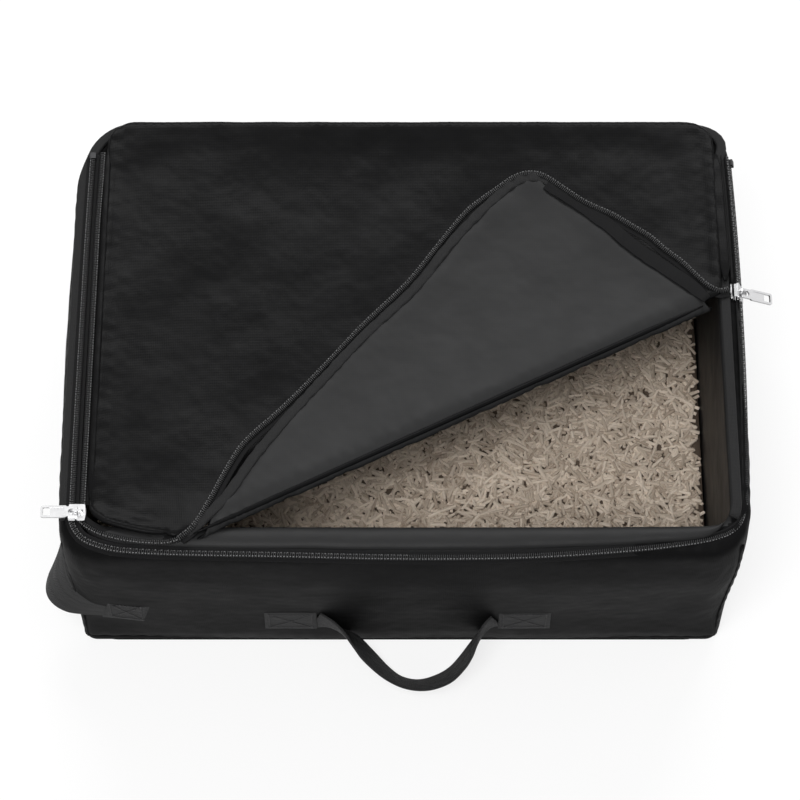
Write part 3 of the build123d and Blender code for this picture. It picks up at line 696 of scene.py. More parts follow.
@dataclass
class ClothRun:
    """Swells or drapes a piece as cloth, holding what is sewn."""

    frames: int = 20
    pressure: float = 4.0
    gravity: float = 0.0
    cap: float = 0.005
    stiffness: float = 15.0
    bending: float = 0.5
    voxel: float = 0.0

    def run(self, piece: bpy.types.Object, held: Callable[[Point], float]) -> None:
        """Simulate the piece.

        Args:
            piece: The piece, whose mesh is changed.
            held: Gives how firmly a place is held, from 0 to 1.
        """
        if self.voxel:
            remesh = piece.modifiers.new("even", "REMESH")
            remesh.mode = "VOXEL"
            remesh.voxel_size = self.voxel
            remesh.use_smooth_shade = True
            settle_mesh(piece)
        start = [vertex.co.copy() for vertex in piece.data.vertices]
        group = piece.vertex_groups.new(name="sewn")
        for index, place in enumerate(start):
            group.add([index], held(place), "REPLACE")
        cloth = piece.modifiers.new("cloth", "CLOTH")
        settings = cloth.settings
        settings.quality = 5
        settings.mass = 0.25
        settings.tension_stiffness = self.stiffness
        settings.compression_stiffness = self.stiffness
        settings.shear_stiffness = self.stiffness / 3
        settings.bending_stiffness = self.bending
        settings.vertex_group_mass = group.name
        settings.use_pressure = self.pressure > 0
        settings.uniform_pressure_force = self.pressure
        settings.effector_weights.gravity = self.gravity
        cloth.collision_settings.use_collision = False
        scene = bpy.context.scene
        for step in range(1, self.frames + 1):
            scene.frame_set(step)
        seen = piece.evaluated_get(bpy.context.evaluated_depsgraph_get())
        moved = [vertex.co.copy() for vertex in seen.data.vertices]
        piece.modifiers.remove(cloth)
        scene.frame_set(1)
        for vertex, old, new in zip(piece.data.vertices, start, moved):
            shift = new - old
            if shift.length > self.cap:
                shift = shift.normalized() * self.cap
            vertex.co = old + shift
        piece.vertex_groups.clear()
        piece.data.update()


@dataclass
class BoxShape:
    """The sizes that the pieces of the box share, in metres."""

    half_width: float = 0.200
    half_depth: float = 0.142
    wall_height: float = 0.156
    corner: float = 0.022
    wall: float = 0.007
    floor: float = 0.0047
    zip_level: float = 0.1584
    lid_thickness: float = 0.003
    zip_rear: float = 0.118
    lid_left: float = -0.180
    lid_right: float = 0.193
    lid_front: float = -0.139
    lid_rear: float = 0.1395
    fold_front: tuple[float, float] = (-0.137, -0.1507)
    fold_right: tuple[float, float] = (0.1933, 0.0139)
    fold_level: float = 0.16155
    hem_corner: float = 0.009
    corner_ease: float = 2.5
    swell_ease: float = 3.4
    swell_rise: float = 0.79
    rear_lean: float = 0.0102
    right_flare: float = 0.0058
    front_flare: float = 0.0112
    left_flare: float = 0.0008
    lid_sag: float = 0.0062

    def around(
        self, inset: float, spacing: float = 0.005, corner: float | None = None
    ) -> list[tuple[Point, Point, float, float]]:
        """Walk round the walls in plan.

        Args:
            inset: How far inside the outer face the line runs.
            spacing: About how far apart the points are.
            corner: The radius of the outer face's corners, where it isn't that of the rim.

        Returns:
            For each point its place, its outward direction, and how much the side walls and the end walls swell there.
        """
        outer = self.corner if corner is None else corner
        w, d, r = self.half_width - inset, self.half_depth - inset, max(0.002, outer - inset)
        stops: list[tuple[Point, Point, float, float]] = []
        sides = (
            (Vector((r - w, -d, 0)), Vector((w - r, -d, 0)), Vector((0, -1, 0)), False),
            (Vector((w, r - d, 0)), Vector((w, d - r, 0)), Vector((1, 0, 0)), True),
            (Vector((w - r, d, 0)), Vector((r - w, d, 0)), Vector((0, 1, 0)), False),
            (Vector((-w, d - r, 0)), Vector((-w, r - d, 0)), Vector((-1, 0, 0)), True),
        )
        corner_steps = max(4, round(self.corner * math.pi / 2 / spacing))
        for start, end, out, is_side in sides:
            half = self.half_depth if is_side else self.half_width
            steps = max(2, round(2 * (half - self.corner) / spacing))
            for step in range(steps):
                share = step / steps
                swell = 1 - abs(2 * share - 1) ** self.swell_ease
                stops.append((start.lerp(end, share), out, swell if is_side else 0.0, 0.0 if is_side else swell))
            ahead = Vector((-out.y, out.x, 0))
            centre = end - out * r
            for step in range(corner_steps):
                angle = math.pi / 2 * step / corner_steps
                turned = out * math.cos(angle) + ahead * math.sin(angle)
                stops.append((centre + turned * r, turned, 0.0, 0.0))
        return stops

    def corner_at(self, height: float) -> float:
        """Return the radius of the walls' corners at a height: tight at the hem, full at the rim."""
        return self.hem_corner + (self.corner - self.hem_corner) * (height / self.wall_height) ** self.corner_ease

    def lean_in(self, place: Point, height: float) -> Point:
        """Return how far the soft rear left corner leans inwards at a height."""
        rear = smooth_step((place.y - 0.095) / 0.045) * smooth_step((-place.x - 0.10) / 0.09)
        return Vector((self.rear_lean * rear * smooth_step((height - 0.045) / 0.105), 0.0, 0.0))

    def flare(self, place: Point, out: Point, height: float) -> Point:
        """Return how the walls' soft top leans: out under the front and right zips, in at the rear left corner."""
        rise = smooth_step((height - 0.030) / 0.115)
        reach = self.right_flare * max(0.0, out.x) ** 2 + self.front_flare * max(0.0, -out.y) ** 2
        reach += self.left_flare * max(0.0, -out.x) ** 2
        return out * (reach * rise) + self.lean_in(place, height)

    def swell(self, height: float) -> float:
        """Return how much of the walls' swell shows at a height, from 0 at hem and rim to 1 between them."""
        share = min(1.0, max(0.0, height / self.wall_height))
        return math.sin(math.pi * share**self.swell_rise)

    def fold(self, along: float, out: float, level: float) -> Point:
        """Return a place by its distance along the fold, out towards the corner, and its level."""
        start = Vector((*self.fold_front, 0.0))
        end = Vector((*self.fold_right, 0.0))
        heading = (end - start).normalized()
        away = Vector((heading.y, -heading.x, 0.0))
        return start + heading * along + away * out + UP * level

    def from_fold(self, place: Point) -> tuple[float, float]:
        """Return a place's distance along the fold and its distance back from it, over the lid."""
        start = Vector((*self.fold_front, 0.0))
        heading = (Vector((*self.fold_right, 0.0)) - start).normalized()
        gone = Vector((place.x, place.y, 0.0)) - start
        return gone.dot(heading), gone.dot(Vector((-heading.y, heading.x, 0.0)))

    def slope(self) -> Point:
        """Return the direction away from the right zip, which lies on a slope."""
        return Vector((0.9272, 0.0, 0.3746))

    def fold_length(self) -> float:
        """Return the length of the fold."""
        return math.dist(self.fold_front, self.fold_right)

    def lid_height(self, place: Point) -> float:
        """Return the level of the lid's middle surface at a place in plan."""
        across = (place.x - self.lid_left) / (self.lid_right - self.lid_left)
        back = (place.y - self.lid_front) / (self.lid_rear - self.lid_front)
        across = min(1.0, max(0.0, across))
        back = min(1.0, max(0.0, back))
        dip = (1 - abs(2 * across - 1) ** 2.6) * (1 - abs(2 * back - 1) ** 2.4)
        swing = noise.noise(Vector((place.x * 11, place.y * 9, 0.4)))
        return self.zip_level + self.lid_thickness / 2 - self.lid_sag * dip * (1 + 0.18 * swing)


shape = BoxShape()


class Boundary:
    """Measures places in plan against an outline."""

    def __init__(self, outline: Sequence[Sequence[float]]) -> None:
        """Keep the outline's edges.

        Args:
            outline: The corners of the outline in plan.
        """
        self.ends = np.array([[corner[0], corner[1]] for corner in outline])
        self.starts = np.roll(self.ends, 1, axis=0)
        self.runs = self.ends - self.starts
        self.squares = np.maximum((self.runs**2).sum(axis=1), 1e-12)

    def distance(self, place: Point) -> float:
        """Return the distance in plan from a place to the nearest edge."""
        gap = np.array([place.x, place.y]) - self.starts
        share = np.clip((gap * self.runs).sum(axis=1) / self.squares, 0.0, 1.0)
        away = gap - self.runs * share[:, None]
        return float(math.sqrt((away**2).sum(axis=1).min()))

    def contains(self, place: Point) -> bool:
        """Say whether a place in plan lies inside the outline."""
        crossed = (self.ends[:, 1] > place.y) != (self.starts[:, 1] > place.y)
        rise = np.where(crossed, self.runs[:, 1], 1.0)
        meets = self.starts[:, 0] + self.runs[:, 0] * (place.y - self.starts[:, 1]) / rise
        return bool((crossed & (place.x < meets)).sum() % 2)


def fill_outline(outline: Sequence[tuple[float, float]], spacing: float) -> tuple[list[Point], list[list[int]]]:
    """Fill an outline in plan with an even triangle mesh.

    Args:
        outline: The corners of the outline, anticlockwise.
        spacing: About how far apart the points are.

    Returns:
        The points, at level 0, and the triangles.
    """
    edge: list[Vector] = []
    for index, corner in enumerate(outline):
        first, second = Vector(outline[index - 1]), Vector(corner)
        steps = max(1, round((second - first).length / spacing))
        edge.extend(first.lerp(second, step / steps) for step in range(steps))
    boundary = Boundary(outline)
    low, high = boundary.ends.min(axis=0), boundary.ends.max(axis=0)
    inner: list[Vector] = []
    row_step = spacing * math.sqrt(0.75)
    for row in range(int((high[1] - low[1]) / row_step) + 1):
        for column in range(int((high[0] - low[0]) / spacing) + 1):
            spot = Vector((low[0] + (column + row % 2 / 2) * spacing, low[1] + row * row_step))
            if boundary.contains(spot) and boundary.distance(spot) > spacing * 0.55:
                inner.append(spot)
    points, _, faces, *_ = delaunay_2d_cdt(edge + inner, [], [list(range(len(edge)))], 1, 1e-7)
    return [Vector((p.x, p.y, 0.0)) for p in points], [list(face) for face in faces]


def rounded_corner(
    before: Vector, corner: Vector, after: Vector, radius: float, steps: int = 7
) -> list[tuple[float, float]]:
    """Return the points of an arc that rounds one corner of an outline."""
    inward = (before - corner).normalized()
    outward = (after - corner).normalized()
    half = inward.angle(outward) / 2
    reach = radius / math.tan(half)
    centre = corner + (inward + outward).normalized() * (radius / math.sin(half))
    start, end = corner + inward * reach, corner + outward * reach
    arc = []
    for step in range(steps + 1):
        spoke = (start - centre).slerp(end - centre, step / steps) * radius
        arc.append((centre.x + spoke.x, centre.y + spoke.y))
    return arc


@dataclass
class Studio:
    """Camera, lamps, floor and backdrop."""

    lens: float = 134.1
    place: tuple[float, float, float] = (-0.0007, -0.866, 1.739)
    tilt: float = 27.2
    floor_size: float = 12.0
    white: float = 0.93
    ambient: float = 0.38
    glow: float = 0.78

    def build(self) -> None:
        """Set the camera, the lamps, the world and the floor."""
        camera = bpy.data.cameras.new("camera")
        camera.lens = self.lens
        camera.sensor_width = 36.0
        camera.clip_end = 50.0
        holder = bpy.data.objects.new("camera", camera)
        holder.location = self.place
        holder.rotation_euler = (math.radians(self.tilt), 0.0, 0.0)
        bpy.context.scene.collection.objects.link(holder)
        bpy.context.scene.camera = holder
        bpy.context.scene.view_settings.view_transform = "Standard"
        self.lamp("key_lamp", (-0.45, -1.0, 2.3), (0.0, 0.0, 0.05), 0.9, 38.0)
        self.lamp("side_lamp", (1.8, 0.6, 1.7), (0.0, 0.0, 0.1), 1.2, 5.0)
        self.lamp("back_lamp", (0.2, 2.0, 2.35), (0.0, 0.05, 0.1), 2.4, 62.0, 0.9)
        self.world()
        self.floor()

    def lamp(
        self,
        name: str,
        place: Sequence[float],
        target: Sequence[float],
        size: float,
        power: float,
        depth: float | None = None,
    ) -> None:
        """Hang one soft lamp.

        Args:
            name: The lamp's name.
            place: Where it hangs.
            target: The place it is turned to.
            size: The width of its panel.
            power: Its power in watts.
            depth: The depth of its panel, where it isn't square.
        """
        light = bpy.data.lights.new(name, "AREA")
        light.shape = "RECTANGLE"
        light.size = size
        light.size_y = size if depth is None else depth
        light.energy = power
        holder = bpy.data.objects.new(name, light)
        holder.location = place
        holder.rotation_euler = (Vector(target) - Vector(place)).to_track_quat("-Z", "Y").to_euler()
        bpy.context.scene.collection.objects.link(holder)

    def world(self) -> None:
        """Make the world an even pale light that the camera sees as white."""
        world = bpy.data.worlds.new("studio")
        bpy.context.scene.world = world
        world.use_nodes = True
        wiring = Wiring(world.node_tree)
        background = world.node_tree.nodes["Background"]
        background.inputs["Color"].default_value = (1.0, 1.0, 1.0, 1.0)
        strength = wiring.scaled(wiring.seen_directly(), 1.0 - self.ambient, self.ambient)
        wiring.tree.links.new(strength, background.inputs["Strength"])

    def floor(self) -> None:
        """Lay the floor, which the camera sees as white apart from the box's shadow."""
        half = self.floor_size / 2
        corners = [(-half, -half, 0), (half, -half, 0), (half, half, 0), (-half, half, 0)]
        mesh = bpy.data.meshes.new("floor")
        mesh.from_pydata(corners, [], [(0, 1, 2, 3)])
        floor = bpy.data.objects.new("floor", mesh)
        bpy.context.scene.collection.objects.link(floor)
        material = bpy.data.materials.new("pale_floor")
        material.use_nodes = True
        wiring = Wiring(material.node_tree)
        material.node_tree.nodes.clear()
        diffuse = wiring.add("ShaderNodeBsdfDiffuse", {"Color": (self.white, self.white, self.white, 1.0)})
        glow = wiring.add("ShaderNodeEmission", {"Color": (1.0, 1.0, 1.0, 1.0), "Strength": 1.0})
        share = wiring.math("MULTIPLY", wiring.seen_directly(), self.glow)
        mixed = wiring.add("ShaderNodeMixShader", {0: share, 1: diffuse.outputs[0], 2: glow.outputs[0]})
        wiring.add("ShaderNodeOutputMaterial", {"Surface": mixed.outputs[0]})
        mesh.materials.append(material)


class CadDressing:
    """Finishes for the CAD pieces that show as they are."""

    finishes = {
        "bottom_panel": Finish.SHELL,
        "base_board": Finish.BOARD,
        "floor_lining": Finish.LINING,
        "left_slider": Finish.METAL,
        "right_slider": Finish.METAL,
        "left_pull": Finish.METAL,
        "right_pull": Finish.METAL,
        "left_end_stop": Finish.DARK_METAL,
        "right_end_stop": Finish.DARK_METAL,
    }

    def build(self) -> None:
        """Give each of those pieces its finish."""
        for name, finish in self.finishes.items():
            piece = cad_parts[name]
            piece.data.materials.clear()
            piece.data.materials.append(palette.get(finish))
            log.info("dressed %s", name)


@dataclass
class PaddedWalls:
    """The ring of padded walls, its corner seams and its hem."""

    side_swell: float = 0.009
    end_swell: float = 0.003
    rows: int = 26
    voxel: float = 0.0042
    corner_bulge: float = 0.0014
    inner_crease: float = 0.0006
    pucker_depth: float = 0.00035
    pucker_length: float = 0.0115
    fold_depth: float = 0.0011
    fine_depth: float = 0.0003

    def outer(self, stop: tuple[Point, Point, float, float], height: float, inset: float = 0.0) -> Point:
        """Return a point of the outer face, or of a line inside it."""
        place, out, side, end = stop
        reach = (side * self.side_swell + end * self.end_swell) * shape.swell(height) - inset
        reach += self.corner_bulge * (2 * out.x * out.y) ** 2 * (1 - height / shape.wall_height)
        return place + out * reach + shape.flare(place, out, height) + UP * height

    def build(self) -> None:
        """Build the walls and what is sewn on them."""
        self.build_ring()
        self.build_seams()

    def build_ring(self) -> None:
        """Build the ring, swell it as cloth and crease it."""
        low, top = 0.0004, shape.wall_height
        profile: list[list[Point]] = []
        for row in range(self.rows + 1):
            height = low + (top - 0.006 - low) * row / self.rows
            ring = shape.around(0.0, corner=shape.corner_at(height))
            profile.append([self.outer(stop, height, -0.0003) for stop in ring])
        for height, inset in ((top - 0.0030, 0.0012), (top - 0.0010, 0.0034)):
            profile.append([self.outer(stop, height, inset) for stop in shape.around(0.0)])
        inner = shape.around(shape.wall - 0.0002)
        profile.append([p + out * 0.0014 + shape.lean_in(p, top) + UP * (top - 0.0008) for p, out, _, _ in inner])
        for row in range(self.rows + 1):
            height = top - 0.003 - (top - 0.003 - low) * row / self.rows
            profile.append([place + shape.lean_in(place, height) + UP * height for place, _, _, _ in inner])
        points = [point for ring in profile for point in ring]
        faces = grid_faces(len(profile), len(inner), closed_rows=True, closed_columns=True)
        walls = make_object("padded_walls", points, faces, [Finish.SHELL, Finish.LINING])
        ClothRun(frames=18, pressure=3.0, cap=0.0008, voxel=self.voxel).run(walls, self.held)
        subdivide(walls, 1)
        self.crease(walls)
        for face in walls.data.polygons:
            depth = self.depth_inside(face.center)
            faces_in = self.depth_inside(face.center + face.normal * 0.004) > depth + 0.001
            face.material_index = int(faces_in and depth > 0.002 and face.center.z < shape.wall_height - 0.002)
        covers = [f"{side}_wall_{layer}" for side in ("front", "back", "left", "right") for layer in ("cover", "pad")]
        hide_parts(*covers, "wall_lining")
        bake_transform(walls)
        log.info("padded walls: %d points", len(walls.data.vertices))

    def depth_inside(self, place: Point) -> float:
        """Return how far a place lies inside the straight outer outline of the walls."""
        x = abs(place.x) - (shape.half_width - shape.corner)
        y = abs(place.y) - (shape.half_depth - shape.corner)
        if x > 0 and y > 0:
            return shape.corner - math.hypot(x, y)
        return shape.corner - max(x, y)

    def held(self, place: Point) -> float:
        """Hold the hem, the rim, the corner seams and the flat inner face."""
        if self.depth_inside(place) > 0.005:
            return 1.0
        near_hem = 1 - smooth_step((place.z - 0.002) / 0.012)
        near_rim = smooth_step((place.z - (shape.wall_height - 0.030)) / 0.020)
        return max(near_hem, near_rim)

    def crease(self, walls: bpy.types.Object) -> None:
        """Press soft creases into the outer face, with puckers at hem and rim."""
        normals = [vertex.normal.copy() for vertex in walls.data.vertices]
        for vertex, normal in zip(walls.data.vertices, normals):
            place = vertex.co
            depth = self.depth_inside(place)
            if depth > 0.004:
                wave = noise.noise(Vector((place.x * 26, place.y * 26, place.z * 12)))
                vertex.co = place + normal * self.inner_crease * wave
                continue
            run = place.x if abs(place.y) > shape.half_depth - 0.004 else place.y
            rim = math.exp(-(shape.wall_height - place.z) / 0.012)
            hem = math.exp(-place.z / 0.010)
            pucker = math.sin(run * 2 * math.pi / self.pucker_length + 3 * noise.noise(Vector((run * 30, 0, 1.5))))
            fold = noise.noise(Vector((place.x * 13 + place.z * 9, place.y * 13, place.z * 17)))
            fine = noise.noise(Vector((place.x * 45, place.y * 45, place.z * 30)))
            shift = self.pucker_depth * pucker * (rim + hem) + self.fold_depth * fold + self.fine_depth * fine
            vertex.co = place + normal * shift * min(1.0, place.z / 0.006)
        walls.data.update()

    def build_seams(self) -> None:
        """Build the corner seams and the hem that joins walls and bottom."""
        for name, x, y in (
            ("front_left_seam", -1, -1),
            ("front_right_seam", 1, -1),
            ("rear_left_seam", -1, 1),
            ("rear_right_seam", 1, 1),
        ):
            out = Vector((x, y, 0)).normalized()
            path = []
            for step in range(40):
                height = 0.003 + 0.140 * step / 39
                cut = shape.corner_at(height) * (1 - math.cos(math.pi / 4)) - 0.0001
                corner = Vector((x * (shape.half_width - cut), y * (shape.half_depth - cut), 0.0))
                lean = shape.flare(corner, out, height)
                path.append(corner + lean + out * 0.0002 * math.sin(step * 1.7) + UP * height)
            seam = sweep(f"{name}_binding", path, flat_section(0.0030, 0.0012, 0.0005), Finish.SHELL, up=out)
            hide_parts(name)
            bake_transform(seam)
        ring = shape.around(0.0, 0.003, corner=shape.corner_at(0.0))
        path = [place - out * 0.0006 + UP * 0.0030 for place, out, _, _ in ring]
        ups = [out for _, out, _, _ in ring]
        hem = sweep("hem_tape", path, flat_section(0.0054, 0.0010, 0.0004, 2), Finish.SHELL, closed=True, up=ups)
        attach(hem, "base")
        log.info("corner seams and hem")


def subdivide(piece: bpy.types.Object, levels: int) -> None:
    """Smooth a piece by subdivision and make it a plain mesh."""
    modifier = piece.modifiers.new("smooth", "SUBSURF")
    modifier.levels = levels
    modifier.render_levels = levels
    settle_mesh(piece)
    piece.data.polygons.foreach_set("use_smooth", [True] * len(piece.data.polygons))


def thicken(piece: bpy.types.Object, thickness: float, back_slot: int = 0, rim_slot: int = 0) -> None:
    """Give a sheet its thickness, smooth it and make it a plain mesh.

    Args:
        piece: The sheet, which is the middle surface.
        thickness: The thickness of the result.
        back_slot: How many material slots further the finish of its back is.
        rim_slot: How many material slots further the finish of its edge is.
    """
    wall = piece.modifiers.new("thickness", "SOLIDIFY")
    wall.thickness = thickness
    wall.offset = 0.0
    wall.material_offset = back_slot
    wall.material_offset_rim = rim_slot
    settle_mesh(piece)
    subdivide(piece, 1)


@dataclass
class LitterBed:
    """The bed of pellets."""

    level: float = 0.0262
    radius: float = 0.00105
    length: float = 0.0088
    density: float = 170000.0
    heap: float = 0.0032
    strips: int = 4
    roll: float = 0.0016
    sunk: float = 0.0024
    corner: float = 0.013
    gap: float = 0.001
    pellet_gap: float = 0.0035

    def height(self, x: float, y: float) -> float:
        """Return the level of the bed at a place."""
        return self.level + self.roll * noise.noise(Vector((x * 9, y * 9, 3.1))) - self.sunk

    def build(self) -> None:
        """Build the bed under the pellets and the pellets in strips."""
        half_w, half_d = shape.half_width - shape.wall - self.gap, shape.half_depth - shape.wall - self.gap
        columns, rows = 48, 34
        points: list[Point] = []
        for row in range(rows + 1):
            for column in range(columns + 1):
                x = -half_w + 2 * half_w * column / columns
                y = -half_d + 2 * half_d * row / rows
                corner_x, corner_y = abs(x) - (half_w - self.corner), abs(y) - (half_d - self.corner)
                if corner_x > 0 and corner_y > 0:
                    reach = max(corner_x, corner_y) / math.hypot(corner_x, corner_y)
                    x = math.copysign(half_w - self.corner + corner_x * reach, x)
                    y = math.copysign(half_d - self.corner + corner_y * reach, y)
                points.append(Vector((x, y, self.height(x, y))))
        faces = grid_faces(rows + 1, columns + 1)
        top = len(points)
        points += [Vector((p.x, p.y, shape.floor + 0.0012)) for p in points]
        faces += [[corner + top for corner in reversed(face)] for face in faces]
        rim = list(range(columns))
        rim += [columns + row * (columns + 1) for row in range(rows)]
        rim += [rows * (columns + 1) + columns - column for column in range(columns)]
        rim += [(rows - row) * (columns + 1) for row in range(rows)]
        for index, first in enumerate(rim):
            second = rim[(index + 1) % len(rim)]
            faces.append([first + top, second + top, second, first])
        # The bed's dark finish is painted shade for the gaps between pellets.
        bed = make_object("litter_heap", points, faces, [Finish.GAP_SHADE_BED])
        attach(bed, "base")
        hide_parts("litter_bed")
        tree = PelletTree()
        for strip in range(self.strips):
            self.build_strip(tree, strip, half_w - self.pellet_gap, half_d - self.pellet_gap)

    def build_strip(self, tree: PelletTree, strip: int, half_w: float, half_d: float) -> None:
        """Scatter the pellets of one strip of the bed."""
        left = -half_w + 2 * half_w * strip / self.strips
        right = left + 2 * half_w / self.strips
        points = []
        steps = 14
        for row in range(steps + 1):
            for column in range(steps + 1):
                x = left + (right - left) * column / steps
                y = -half_d + 2 * half_d * row / steps
                points.append(Vector((x, y, self.height(x, y) + 0.0006)))
        faces = grid_faces(steps + 1, steps + 1)
        patch = make_object(f"pellets_{strip + 1}", points, faces, [Finish.LITTER], smooth=False)
        pellets = tree.scatter(patch, self.density, 11 + strip, self.radius, self.length, self.heap)
        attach(pellets, "base")
        log.info("pellets %d: %d faces", strip + 1, len(pellets.data.polygons))


class CoilRows:
    """Rows of zip coil teeth, of light dots painted on their turns as highlights, and of stitches."""

    tooth_pitch = 0.00122
    tooth_size = (0.0025, 0.0030, 0.0027)
    dot_pitch = 0.00183
    dot_size = (0.0009, 0.0030, 0.0030)
    stitch_pitch = 0.0024
    stitch_size = (0.0022, 0.0026, 0.0024)

    def __init__(self) -> None:
        """Build the node tree and the small shapes that it copies."""
        self.tree = RepeatTree()
        self.tooth = self.make_tooth()
        self.stitch = self.make_stitch()

    @staticmethod
    def hidden(shape_piece: bpy.types.Object) -> bpy.types.Object:
        """Hide a shape that is only copied and return it."""
        shape_piece.hide_render = True
        shape_piece.hide_viewport = True
        return shape_piece

    def make_tooth(self) -> bpy.types.Object:
        """Make one turn of the coil: a bent wire across the tape, one unit wide."""
        bend = [(-0.5, -0.1), (-0.46, 0.28), (-0.2, 0.42), (0.2, 0.4), (0.5, 0.18), (0.52, -0.12)]
        path = [Vector((0.0, across, above)) for across, above in bend]
        return self.hidden(sweep("coil_tooth", path, round_section(0.13, 6), Finish.COIL, up=Vector((1, 0, 0))))

    def make_stitch(self) -> bpy.types.Object:
        """Make one stitch: a short thread that dips into the cloth at both ends."""
        dip = [(-0.5, -0.12), (-0.32, 0.06), (0.0, 0.12), (0.32, 0.06), (0.5, -0.12)]
        path = [Vector((along, 0.0, above)) for along, above in dip]
        return self.hidden(sweep("thread_stitch", path, round_section(0.1, 6), Finish.THREAD))

    def teeth(
        self, name: str, path: Sequence[Point], body: str, nodes: Sequence[str], up: Point = UP, flip: bool = False
    ) -> None:
        """Lay one half of a zip coil.

        Args:
            name: The piece's name.
            path: The middle line of the coil.
            body: The body that it rides on.
            nodes: The CAD nodes that it replaces.
            up: The direction away from the tape.
            flip: Whether the turns are mirrored across the line.
        """
        length, width, height = self.tooth_size
        size = (length, -width if flip else width, height)
        row = self.tree.lay(name, path, self.tooth, self.tooth_pitch, size, up, Finish.COIL)
        if flip:
            row.data.flip_normals()
        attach(row, body)
        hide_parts(*nodes)
        log.info("%s: %d faces", name, len(row.data.polygons))

    def dots(self, name: str, path: Sequence[Point], body: str, up: Point = UP) -> None:
        """Lay a row of light grey dots where the coil's turns bend over its edge: painted highlights for the glints of
        the turns.
        """
        # The dots' light finish is painted highlight, not a thread of another colour.
        row = self.tree.lay(name, path, self.stitch, self.dot_pitch, self.dot_size, up, Finish.DOT)
        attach(row, body)

    def stitches(self, name: str, path: Sequence[Point], body: str, up: Point) -> None:
        """Lay one row of stitches."""
        row = self.tree.lay(name, path, self.stitch, self.stitch_pitch, self.stitch_size, up, Finish.THREAD)
        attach(row, body)

    def clear(self) -> None:
        """Remove the shapes that were only copied."""
        for piece in (self.tooth, self.stitch):
            bpy.data.objects.remove(piece)


